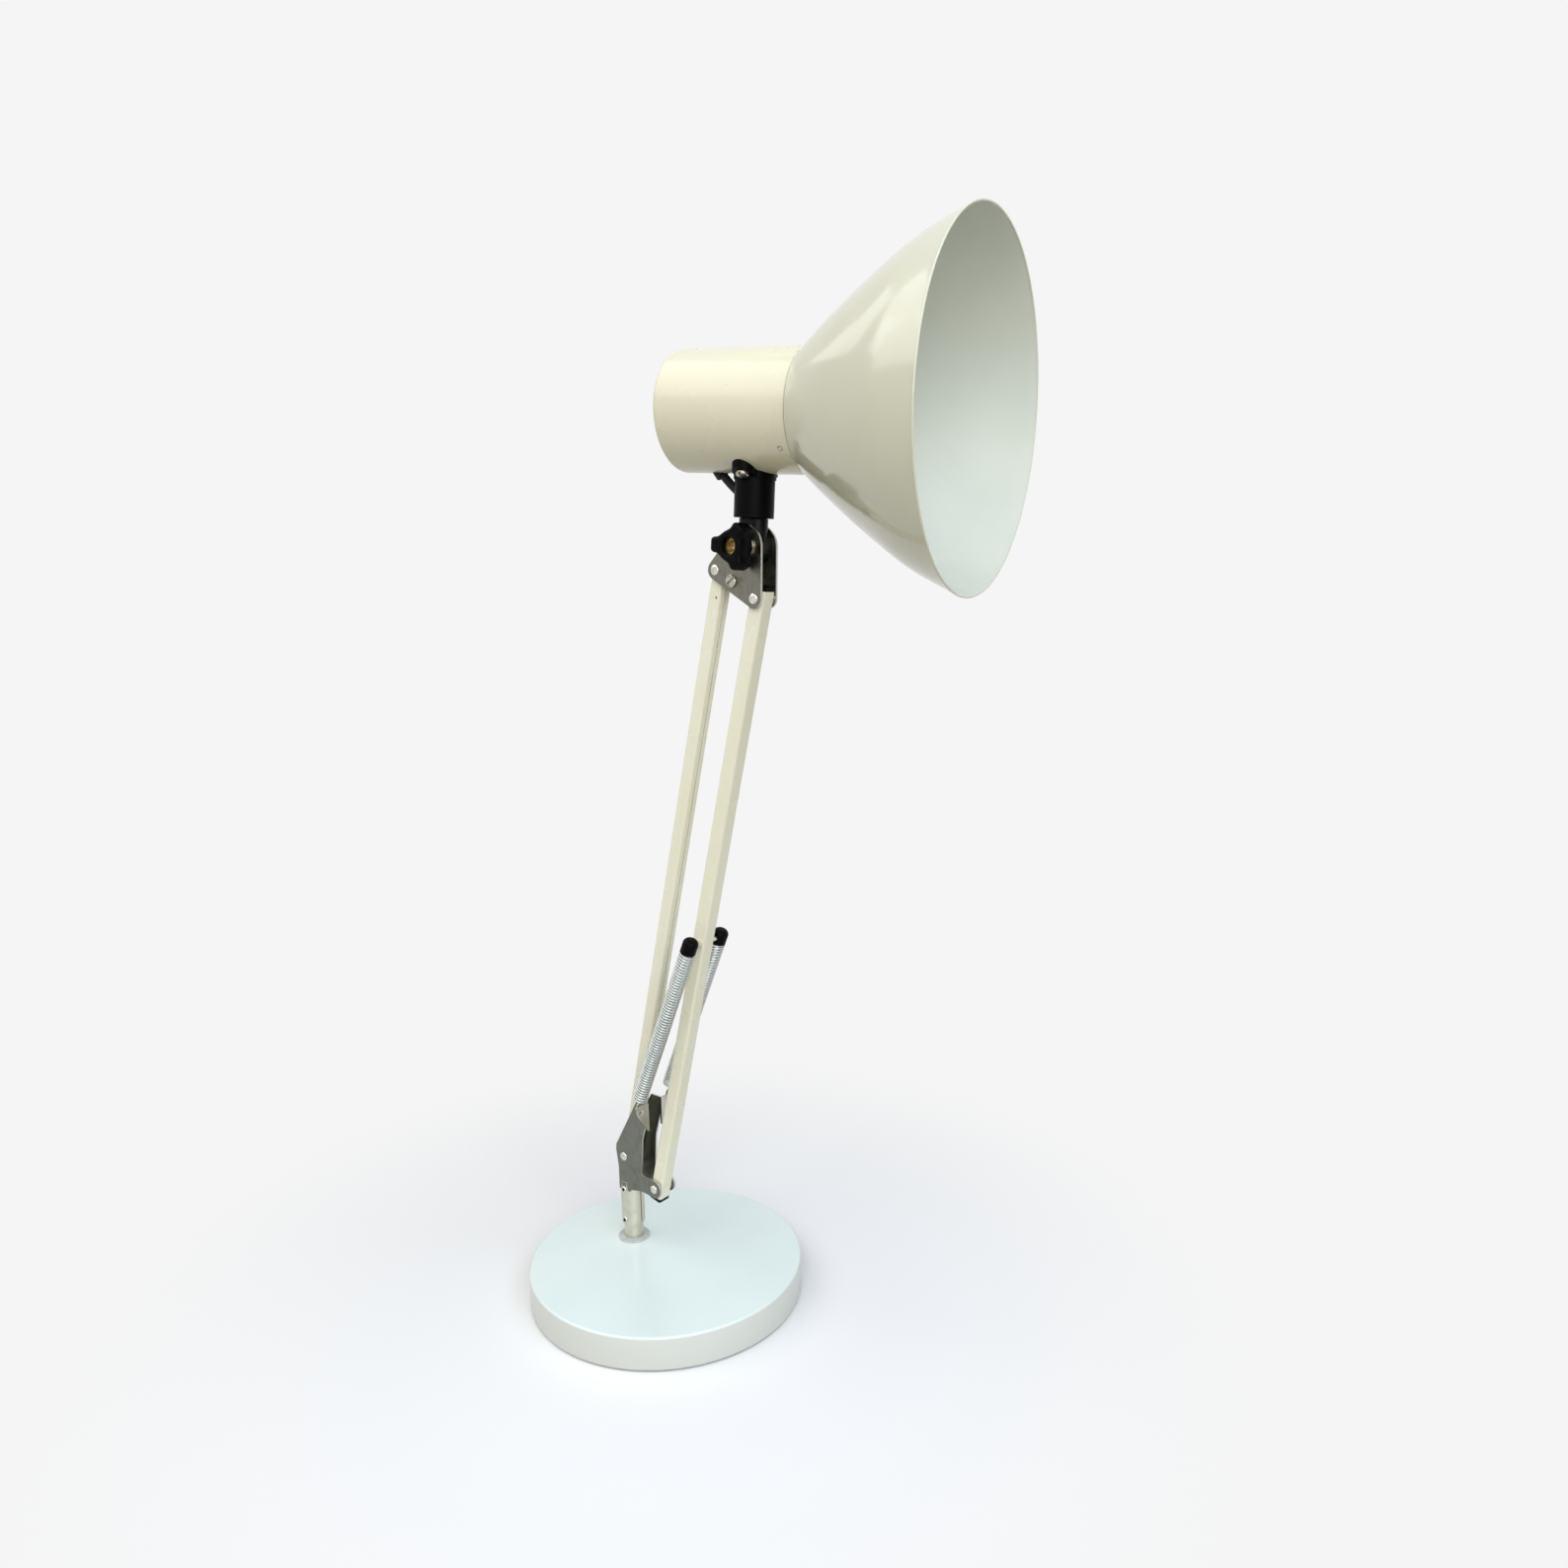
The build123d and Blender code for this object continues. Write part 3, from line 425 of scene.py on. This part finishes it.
def make_piece(mesh_builder, name, materials, sharp=35.0):
    """A mesh object from a bmesh, smooth but for edges sharper than an angle."""
    bmesh.ops.recalc_face_normals(mesh_builder, faces=mesh_builder.faces)
    mesh = bpy.data.meshes.new(name)
    mesh_builder.to_mesh(mesh)
    mesh_builder.free()
    for material in materials:
        mesh.materials.append(material)
    mesh.polygons.foreach_set("use_smooth", [True] * len(mesh.polygons))
    mesh.set_sharp_from_angle(angle=math.radians(sharp))
    piece = bpy.data.objects.new(name, mesh)
    scene.collection.objects.link(piece)
    return piece


def bridge(mesh_builder, ring, following):
    """Faces between two rings of points, either of which may be a single point."""
    count = max(len(ring), len(following))
    if count == 1:
        return
    for index in range(count):
        corners = [
            ring[index % len(ring)],
            ring[(index + 1) % len(ring)],
            following[(index + 1) % len(following)],
            following[index % len(following)],
        ]
        unique = [corner for place, corner in enumerate(corners) if corner not in corners[:place]]
        mesh_builder.faces.new(unique)


def revolved(outline, origin, axis, side, segments=160):
    """Bmesh of a solid of revolution; outline points are (along the axis, out from it)."""
    third = axis.cross(side)
    builder = bmesh.new()
    rings = []
    for distance, out in outline:
        if out < 1e-7:
            rings.append([builder.verts.new(origin + axis * distance)])
            continue
        ring = []
        for index in range(segments):
            angle = 2 * math.pi * index / segments
            spoke = side * math.cos(angle) + third * math.sin(angle)
            ring.append(builder.verts.new(origin + axis * distance + spoke * out))
        rings.append(ring)
    for ring, following in zip(rings, rings[1:]):
        bridge(builder, ring, following)
    if len(rings[0]) > 1 and len(rings[-1]) > 1:
        bridge(builder, rings[-1], rings[0])
    return builder


def arc(centre, radius, start, end, steps):
    """Outline points on an arc, angles in degrees from the axis direction."""
    points = []
    for step in range(steps + 1):
        angle = math.radians(start + (end - start) * step / steps)
        points.append((centre[0] + radius * math.cos(angle), centre[1] + radius * math.sin(angle)))
    return points


def between(before, start, end, after, t):
    """One coordinate of a smooth line between the middle two of four points."""
    linear = end - before
    square = 2 * before - 5 * start + 4 * end - after
    cube = 3 * start - before - 3 * end + after
    return 0.5 * (2 * start + linear * t + square * t**2 + cube * t**3)


def smooth_through(points, steps):
    """A smooth line through outline points."""
    line = []
    for index in range(len(points) - 1):
        before = points[max(index - 1, 0)]
        start, end = points[index], points[index + 1]
        after = points[min(index + 2, len(points) - 1)]
        for step in range(steps):
            t = step / steps
            line.append(tuple(between(*values, t) for values in zip(before, start, end, after)))
    line.append(points[-1])
    return line


def cut(piece, cutter):
    """Takes one mesh out of another and leaves no modifier behind."""
    modifier = piece.modifiers.new("cut", "BOOLEAN")
    modifier.operation = "DIFFERENCE"
    modifier.solver = "EXACT"
    modifier.object = cutter
    bpy.context.view_layer.update()
    evaluated = piece.evaluated_get(bpy.context.evaluated_depsgraph_get())
    mesh = bpy.data.meshes.new_from_object(evaluated)
    mesh.set_sharp_from_angle(angle=math.radians(30))
    piece.modifiers.clear()
    old = piece.data
    name = old.name
    piece.data = mesh
    bpy.data.meshes.remove(old)
    mesh.name = name
    bpy.data.objects.remove(cutter)


def drill(origin, axis, side, radius, length):
    """A plain round cutter that starts at a point and runs along an axis."""
    outline = [(0, 0), (0, radius), (length, radius), (length, 0)]
    return make_piece(revolved(outline, origin, axis, side, 48), "cutter", [])


def install(piece, body, slot_name, *nodes):
    """The piece rides on a body and stands for the nodes; slot_name is not used."""
    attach(piece, body)
    if nodes:
        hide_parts(*nodes)


x_axis = Vector((1, 0, 0))
y_axis = Vector((0, 1, 0))
z_axis = Vector((0, 0, 1))


def make_base():
    """Pressed pan with a soft top edge and a lip turned in at the foot."""
    edge = 1.6 * mm
    foot = 1.0 * mm
    outline = [(foot + 0.4 * mm, base_radius - cover_wall), (foot, base_radius - 0.9 * mm)]
    outline += arc((foot + 0.5 * mm, base_radius - 0.5 * mm), 0.5 * mm, 180, 90, 4)
    outline += arc((base_height - edge, base_radius - edge), edge, 90, 0, 10)
    outline += [(base_height, 40 * mm), (base_height, 0), (base_height - cover_wall, 0)]
    outline += [(base_height - cover_wall, base_radius - cover_wall)]
    cover = make_piece(revolved(outline, base_centre, z_axis, x_axis, 256), "cover_pan", [base_white], 30)
    cut(cover, drill(Vector((0, 0, 10 * mm)), z_axis, x_axis, bush_radius, 20 * mm))
    install(cover, "base", "base_enamel", "base_cover")

    soft = 0.6 * mm
    outline = [(0, 0), (0, pad_radius - soft)]
    outline += arc((soft, pad_radius - soft), soft, 180, 90, 4)[1:]
    outline += arc((pad_thickness - soft, pad_radius - soft), soft, 90, 0, 4)
    outline += [(pad_thickness, 0)]
    pad = make_piece(revolved(outline, base_centre, z_axis, x_axis, 160), "felt_foot", [felt])
    install(pad, "base", "felt", "base_pad")


def rivet(name, place, half_length, shank, head, height, dish=0.0):
    """A rivet along Y with a domed head at each end, dished if it is a tubular one."""
    steps = 8
    dome = []
    for step in range(steps + 1):
        out = head * math.sin(math.pi / 2 * step / steps)
        rise = height * math.cos(math.pi / 2 * step / steps) ** 0.8
        if dish and out < dish:
            rise = height * 0.15
        dome.append((rise, out))
    lower = [(-half_length - rise, out) for rise, out in dome]
    upper = [(half_length + rise, out) for rise, out in reversed(dome)]
    outline = lower + [(-half_length, shank), (half_length, shank)] + upper
    piece = make_piece(revolved(outline, place, y_axis, x_axis, 48), name, [rivet_steel, black_metal], 50)
    # Faces in the dish take black metal: painted shade standing for the tubular rivet's hollow
    for face in piece.data.polygons:
        offset = face.center - place
        if math.hypot(offset.x, offset.z) < dish:
            face.material_index = 1
    return piece


def make_rivets():
    places = (
        ("lower_front_rivet", lower_front, "bracket"),
        ("lower_rear_rivet", lower_rear, "bracket"),
        ("upper_front_rivet", upper_front, "upper_bracket"),
        ("upper_rear_rivet", upper_rear, "upper_bracket"),
    )
    for node, place, body in places:
        piece = rivet(
            node + "_domed", place, plate_outer, rivet_radius, rivet_head_radius, rivet_head_height
        )
        install(piece, body, "rivet_steel", node)
    for number, height in enumerate(post_pin_heights):
        place = Vector((0, 0, height))
        pin = rivet(f"post_pin_{number + 1}", place, shell_radius, 1.6 * mm, 2.3 * mm, 0.9 * mm, 1.2 * mm)
        install(pin, "bracket", "rivet_steel", "post_pins")


def swept(points, radius, sides):
    """Bmesh of a round wire along points, with slightly rounded ends."""
    builder = bmesh.new()
    tangent = (points[1] - points[0]).normalized()
    across = tangent.orthogonal().normalized()
    rings = []
    for index, point in enumerate(points):
        before = points[max(index - 1, 0)]
        after = points[min(index + 1, len(points) - 1)]
        tangent = (after - before).normalized()
        across = (across - tangent * across.dot(tangent)).normalized()
        third = tangent.cross(across)
        ring = []
        for side in range(sides):
            angle = 2 * math.pi * side / sides
            offset = (across * math.cos(angle) + third * math.sin(angle)) * radius
            ring.append(builder.verts.new(point + offset))
        rings.append(ring)
    for ring, following in zip(rings, rings[1:]):
        bridge(builder, ring, following)
    for ring, end, inner in ((rings[0], points[0], points[1]), (rings[-1], points[-1], points[-2])):
        cap = builder.verts.new(end + (end - inner).normalized() * radius * 0.35)
        bridge(builder, ring, [cap])
    return builder


def eased(start, start_direction, end, end_direction, steps):
    """Points of a smooth bend between two ends with given directions, without the last."""
    reach = (end - start).length
    points = []
    for step in range(steps):
        t = step / steps
        points.append(
            start * (2 * t**3 - 3 * t**2 + 1)
            + start_direction * reach * (t**3 - 2 * t**2 + t)
            + end * (3 * t**2 - 2 * t**3)
            + end_direction * reach * (t**3 - t**2)
        )
    return points


def make_spring(side, name, node):
    """Tail and hook through the lug, then the winding up to the plug."""
    shift = Vector((0, side * spring_offset, 0))
    foot = hook_top + shift
    run = anchor + shift - foot
    up = run.normalized()
    ahead = Vector((up.z, 0, -up.x))
    across = Vector((0, side, 0))
    coil_end = run.length - plug_below_anchor + 0.3 * mm
    pitch = (coil_end - coil_start) / coil_turns

    def winding(angle):
        height = coil_start + pitch * angle / (2 * math.pi)
        point = foot + up * height + (ahead * math.cos(angle) + across * math.sin(angle)) * coil_radius
        tangent = (across * math.cos(angle) - ahead * math.sin(angle)) * coil_radius
        tangent += up * pitch / (2 * math.pi)
        return point, tangent.normalized()

    hole = Vector((lug_front, side * spring_offset, hook_hole_height))
    tail = hole + Vector((1.0, 0, 0)) * mm
    tail_top = tail + Vector((1.8, 0, 1.8)) * mm
    behind = Vector((foot.x + hook_radius * up.z, hole.y, hole.z))
    points = [tail_top + Vector((0, 0, 1.6)) * mm]
    points += eased(tail_top, -z_axis, tail, -x_axis, 8)
    points += eased(tail, -x_axis, behind, -x_axis, 4)
    points += eased(behind, -x_axis, foot, up, 10)
    leg_top = foot + up * (coil_start - leg_bend)
    points += eased(foot, up, leg_top, up, 4)
    first_point, first_tangent = winding(0)
    points += eased(leg_top, up, first_point, first_tangent, 12)
    steps = 24
    for step in range(coil_turns * steps + 1):
        points.append(winding(2 * math.pi * step / steps)[0])
    piece = make_piece(swept(points, wire_radius, 10), name, [zinc_wire], 60)
    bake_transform(piece)
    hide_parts(node)


def knob_outline(angle, inset):
    """Distance from the axis to the knob's edge: a hub with three blunt wings."""
    hub = 8.6 * mm
    wing_half = 4.4 * mm
    corner = 2.4 * mm
    blend_width = 3.0 * mm
    low, high = 0.0, knob_reach * 1.3
    for _ in range(28):
        middle = (low + high) / 2
        nearest = middle - hub
        for number in range(3):
            turned = angle - math.radians(54 + 120 * number)
            along_wing = middle * math.cos(turned)
            beside = abs(middle * math.sin(turned))
            outside_x = max(along_wing - (knob_reach - corner), 0.0)
            outside_y = max(beside - (wing_half - corner), 0.0)
            wing = math.hypot(outside_x, outside_y) - corner
            if along_wing < 0:
                wing = max(wing, 2 * hub)
            meet = max(blend_width - abs(nearest - wing), 0.0) / blend_width
            nearest = min(nearest, wing) - meet * meet * blend_width / 4
        if nearest + inset < 0:
            low = middle
        else:
            high = middle
    return low


def make_knob():
    """Wing knob with soft edges, a dished face and a deep round recess."""
    segments = 144
    hub_radius = 7.2 * mm
    recess = 4.7 * mm
    depth = knob_outer - knob_inner
    shoulder = 1.6 * mm
    layers = [
        (0.0, None, hub_radius - 0.3 * mm),
        (0.3 * mm, None, hub_radius),
        (shoulder, None, hub_radius),
        (shoulder, 1.2 * mm, None),
        (shoulder + 0.35 * mm, 0.35 * mm, None),
        (shoulder + 1.1 * mm, 0.0, None),
        (depth - 1.5 * mm, 0.15 * mm, None),
        (depth - 0.55 * mm, 0.6 * mm, None),
        (depth - 0.12 * mm, 1.4 * mm, None),
        (depth, 2.3 * mm, None),
        (depth - 0.1 * mm, None, recess + 0.9 * mm),
        (depth - 0.4 * mm, None, recess + 0.25 * mm),
        (depth - 1.0 * mm, None, recess),
        (0.0, None, recess),
    ]
    builder = bmesh.new()
    rings = []
    for distance, inset, radius in layers:
        ring = []
        for index in range(segments):
            angle = 2 * math.pi * index / segments
            out = radius if inset is None else knob_outline(angle, inset)
            place = pivot + Vector((out * math.cos(angle), -knob_inner - distance, out * math.sin(angle)))
            ring.append(builder.verts.new(place))
        rings.append(ring)
    for ring, following in zip(rings, rings[1:] + rings[:1]):
        bridge(builder, ring, following)
    knob = make_piece(builder, "wing_knob", [black_plastic], 40)
    install(knob, "knob", "black_plastic", "knob")


def around_head(angle):
    """Direction out from the head's axis, turned from straight down the stem."""
    return head_side * math.sin(angle) - stem_up * math.cos(angle)


def drill_set_screws(piece, start_radius, hole_radius):
    """The three set screws' holes, in the housing or in the shade's neck."""
    for heading in set_screw_headings:
        outward = around_head(math.radians(heading))
        start = head_point + head_axis * (housing_front - set_screw_back) + outward * start_radius
        cut(piece, drill(start, outward, head_axis, hole_radius, 8 * mm))


def make_housing():
    """Drawn cup with a rounded back, holes for the set screws and for the flex."""
    back = -housing_back
    corner = 3.4 * mm
    inner = housing_radius - housing_wall
    outline = [(back, 0), (back, 10 * mm)]
    outline += arc((back + corner, housing_radius - corner), corner, 180, 90, 12)
    outline += [(housing_front - 0.35 * mm, housing_radius), (housing_front, housing_radius - 0.3 * mm)]
    outline += [(housing_front, inner), (back + corner, inner)]
    outline += arc((back + corner, inner - 2.5 * mm), 2.5 * mm, 90, 180, 6)[1:]
    outline += [(back + housing_wall, 0)]
    housing = make_piece(
        revolved(outline, head_point, head_axis, head_side, 256), "housing_cup", [housing_cream], 40
    )
    drill_set_screws(housing, inner - 2 * mm, 1.55 * mm)
    start, direction = flex_exit()
    cut(housing, drill(start, direction, head_side, 3.8 * mm, 14 * mm))
    install(housing, "head", "cream_enamel", "housing")


def make_shade():
    """Spun reflector: glossy outside, white lining, a rolled rim and a neck in the housing."""
    outer = smooth_through([(housing_front + step * mm, radius * mm) for step, radius in shade_profile_mm], 8)
    inner = []
    for index, point in enumerate(outer):
        before = outer[max(index - 1, 0)]
        after = outer[min(index + 1, len(outer) - 1)]
        slope = math.atan2(after[1] - before[1], after[0] - before[0])
        inner.append((point[0] + shade_wall * math.sin(slope), point[1] - shade_wall * math.cos(slope)))
    mouth = housing_front + shade_depth
    bead = 0.6 * mm
    outer[0] = (housing_front + 0.45 * mm, 32.75 * mm)
    outer[-1] = (mouth - 1.0 * mm, rim_radius - 0.35 * mm)
    rim = arc((mouth - bead, rim_radius - bead), bead, 110, -110, 12)
    inner = [point for point in inner if point[0] < mouth - 2.4 * mm]
    neck = housing_radius - housing_wall
    neck_end = housing_front - 11.5 * mm
    neck_outline = [
        (housing_front + 0.4 * mm, neck - 1.0 * mm),
        (neck_end, neck - 1.0 * mm),
        (neck_end, neck - 0.05 * mm),
        (housing_front + 0.5 * mm, neck - 0.05 * mm),
        (housing_front + 0.5 * mm, housing_radius - 0.4 * mm),
    ]
    outline = outer + rim + inner[::-1] + neck_outline
    shade = make_piece(
        revolved(outline, head_point, head_axis, head_side, 320),
        "spun_shade", [shade_cream, lining, seam_painted_shadow], 50,
    )
    for face in shade.data.polygons:
        offset = face.center - head_point
        distance = offset.dot(head_axis)
        out = (offset - head_axis * distance).length
        outward = face.normal.dot(offset - head_axis * distance)
        if outward < 0 and distance < mouth - 0.5 * mm:
            face.material_index = 1
        # Faces at the seam with the housing take the dark seam material: painted shadow in the gap
        if out > neck - 0.1 * mm and distance < housing_front + 0.55 * mm:
            face.material_index = 2
    drill_set_screws(shade, neck - 3 * mm, 1.25 * mm)
    install(shade, "head", "cream_enamel", "shade")


def head_place(ahead, up):
    """A point given in millimetres along the head's axis and up the stem."""
    return head_point + head_axis * ahead * mm + stem_up * up * mm


def flex_exit():
    """Where the flex leaves the housing, and its direction there."""
    start = head_place(*flex_points_mm[0])
    return start, (head_place(*flex_points_mm[1]) - start).normalized()


def make_flex():
    """Short captive flex from the housing down into the sleeve."""
    start, middle, end = [head_place(*point) for point in flex_points_mm]
    points = []
    steps = 24
    for step in range(steps + 1):
        t = step / steps
        points.append(start * (1 - t) ** 2 + middle * 2 * t * (1 - t) + end * t**2)
    flex = make_piece(swept(points, flex_radius, 24), "short_flex", [flex_rubber], 60)
    install(flex, "head", "flex_black", "flex")


def slotted_head(name, origin, axis, side, radius, height, shank_radius, shank_length):
    """A round slotted screw head with a soft edge, on its shank."""
    outline = [(-shank_length, 0), (-shank_length, shank_radius), (0, shank_radius), (0, radius)]
    outline += arc((height - 0.75 * mm, radius - 0.75 * mm), 0.75 * mm, 90, 20, 5)
    outline += [(height + 0.1 * mm, radius * 0.5), (height + 0.15 * mm, 0)]
    screw = make_piece(revolved(outline, origin, axis, side, 64), name, [screw_steel], 40)
    slot_width = 0.9 * mm
    third = axis.cross(side)
    builder = bmesh.new()
    corners = []
    for rise in (height * 0.45, height * 2):
        for along_slot, across_slot in ((-1, -1), (1, -1), (1, 1), (-1, 1)):
            along = side * along_slot * radius * 1.3
            place = origin + axis * rise + along + third * across_slot * slot_width / 2
            corners.append(builder.verts.new(place))
    bridge(builder, corners[:4], corners[4:])
    builder.faces.new(corners[:4])
    builder.faces.new(corners[4:])
    cut(screw, make_piece(builder, "slot_cutter", []))
    return screw


def make_screws():
    for name, side in (("saddle_screw_near", -1), ("saddle_screw_far", 1)):
        outward = around_head(saddle_screw_heading * side)
        origin = head_point + outward * saddle_radius
        slot_direction = outward.cross(head_axis)
        screw = slotted_head(name, origin, outward, slot_direction, 3.7 * mm, 1.7 * mm, 1.9 * mm, 7.4 * mm)
        install(screw, "head", "screw_steel", "saddle_screws")


def make_collar():
    """Shoulder of the knuckle below the swivel sleeve, slim enough to tilt between the plates."""
    half_width = 5.75 * mm
    reach = 8.8 * mm - half_width
    soft = 0.5 * mm
    builder = bmesh.new()
    rings = []
    for height, inset in ((3.0 * mm, soft), (3.5 * mm, 0.0), (14.95 * mm, 0.0), (15.45 * mm, soft)):
        ring = []
        for index in range(64):
            angle = 2 * math.pi * (index + 0.5) / 64
            shift = reach if math.cos(angle) > 0 else -reach
            ahead = shift + (half_width - inset) * math.cos(angle)
            across = (half_width - inset) * math.sin(angle)
            ring.append(builder.verts.new(pivot + stem_up * height + stem_ahead * ahead + y_axis * across))
        rings.append(ring)
    for ring, following in zip(rings, rings[1:]):
        bridge(builder, ring, following)
    builder.faces.new(rings[0])
    builder.faces.new(rings[-1])
    collar = make_piece(builder, "knuckle_collar", [black_metal])
    install(collar, "knuckle", "black_metal")


make_base()
make_rivets()
make_collar()
make_spring(-1, "near_winding", "spring_near")
make_spring(1, "far_winding", "spring_far")
make_knob()
make_housing()
make_shade()
make_flex()
make_screws()

# Floor and background: a pale floor that keeps the lamp's shadow and fades into the background
background = srgb(245, 245, 245)


def seen_ray(tree, path):
    """1 for the rays that show the background: the camera's, and mirrored or refracted ones."""
    share = path.outputs["Is Camera Ray"]
    for name in ("Is Glossy Ray", "Is Transmission Ray"):
        either = tree.nodes.new("ShaderNodeMath")
        either.operation = "MAXIMUM"
        tree.links.new(share, either.inputs[0])
        tree.links.new(path.outputs[name], either.inputs[1])
        share = either.outputs["Value"]
    return share


def make_stage():
    size = 12.0
    height = -0.1 * mm
    signs = ((-1, -1), (1, -1), (1, 1), (-1, 1))
    fade_start, fade_end = 0.13, 0.42
    builder = bmesh.new()
    corners = [builder.verts.new((x * size, y * size, height)) for x, y in signs]
    builder.faces.new(corners)
    graph = Graph("floor")
    tree = graph.tree
    path = graph.add("ShaderNodeLightPath")
    surface = graph.mix(path.outputs["Is Diffuse Ray"], srgb(248, 248, 248), srgb(170, 165, 152))
    graph.finish(surface, graph.ramp(graph.noise(0.2, 2), 0.3, 0.7, 0.78, 0.86))
    glow = graph.add("ShaderNodeEmission")
    glow.inputs["Color"].default_value = background
    away = graph.add("ShaderNodeVectorMath", operation="DISTANCE")
    graph.feed(away.inputs[0], graph.place)
    away.inputs[1].default_value = base_centre
    fade = graph.ramp(away.outputs["Value"], fade_start, fade_end)
    seen = graph.math("MULTIPLY", fade, seen_ray(tree, path))
    blend_node = graph.add("ShaderNodeMixShader")
    output = tree.nodes["Material Output"]
    graph.feed(blend_node.inputs[0], seen)
    tree.links.new(graph.bsdf.outputs[0], blend_node.inputs[1])
    tree.links.new(glow.outputs[0], blend_node.inputs[2])
    tree.links.new(blend_node.outputs[0], output.inputs["Surface"])
    floor = make_piece(builder, "floor", [graph.material])


def make_world():
    fill_strength = 0.22
    world = bpy.data.worlds.new("studio")
    scene.world = world
    world.use_nodes = True
    tree = world.node_tree
    lit = tree.nodes["Background"]
    lit.inputs["Color"].default_value = (1.0, 1.0, 1.0, 1.0)
    lit.inputs["Strength"].default_value = fill_strength
    seen = tree.nodes.new("ShaderNodeBackground")
    seen.inputs["Color"].default_value = background
    seen.inputs["Strength"].default_value = 1.0
    path = tree.nodes.new("ShaderNodeLightPath")
    choose = tree.nodes.new("ShaderNodeMixShader")
    tree.links.new(seen_ray(tree, path), choose.inputs[0])
    tree.links.new(lit.outputs[0], choose.inputs[1])
    tree.links.new(seen.outputs[0], choose.inputs[2])
    tree.links.new(choose.outputs[0], tree.nodes["World Output"].inputs["Surface"])


def softbox(name, place, target, width, height, power, colour=(1.0, 1.0, 1.0)):
    data = bpy.data.lights.new(name, "AREA")
    data.shape = "RECTANGLE"
    data.size = width
    data.size_y = height
    data.energy = power
    data.color = colour
    light = bpy.data.objects.new(name, data)
    scene.collection.objects.link(light)
    aim = (Vector(target) - Vector(place)).to_track_quat("-Z", "Y").to_matrix().to_4x4()
    light.matrix_world = Matrix.Translation(Vector(place)) @ aim


make_stage()
make_world()
softbox("key", (-0.6, -1.1, 1.9), (0.1, 0.0, 0.35), 2.6, 1.8, 24.0)
softbox("top", (0.4, 0.4, 2.2), (0.1, 0.0, 0.3), 2.2, 1.8, 4.5)
softbox("front", (1.5, -1.2, 1.2), (0.15, 0.0, 0.4), 1.8, 1.5, 27.0, (0.94, 0.98, 1.0))
softbox("sky", (1.3, 0.1, 1.7), (0.2, 0.0, 0.5), 1.0, 1.0, 8.0, (0.74, 0.9, 1.15))
softbox("window_left", (-1.04, 0.04, 1.37), (0.22, -0.05, 0.58), 0.3, 0.5, 0.55)
softbox("window_right", (-1.02, -0.43, 1.31), (0.24, -0.06, 0.57), 0.2, 0.34, 0.28)

scene.view_settings.view_transform = "Standard"
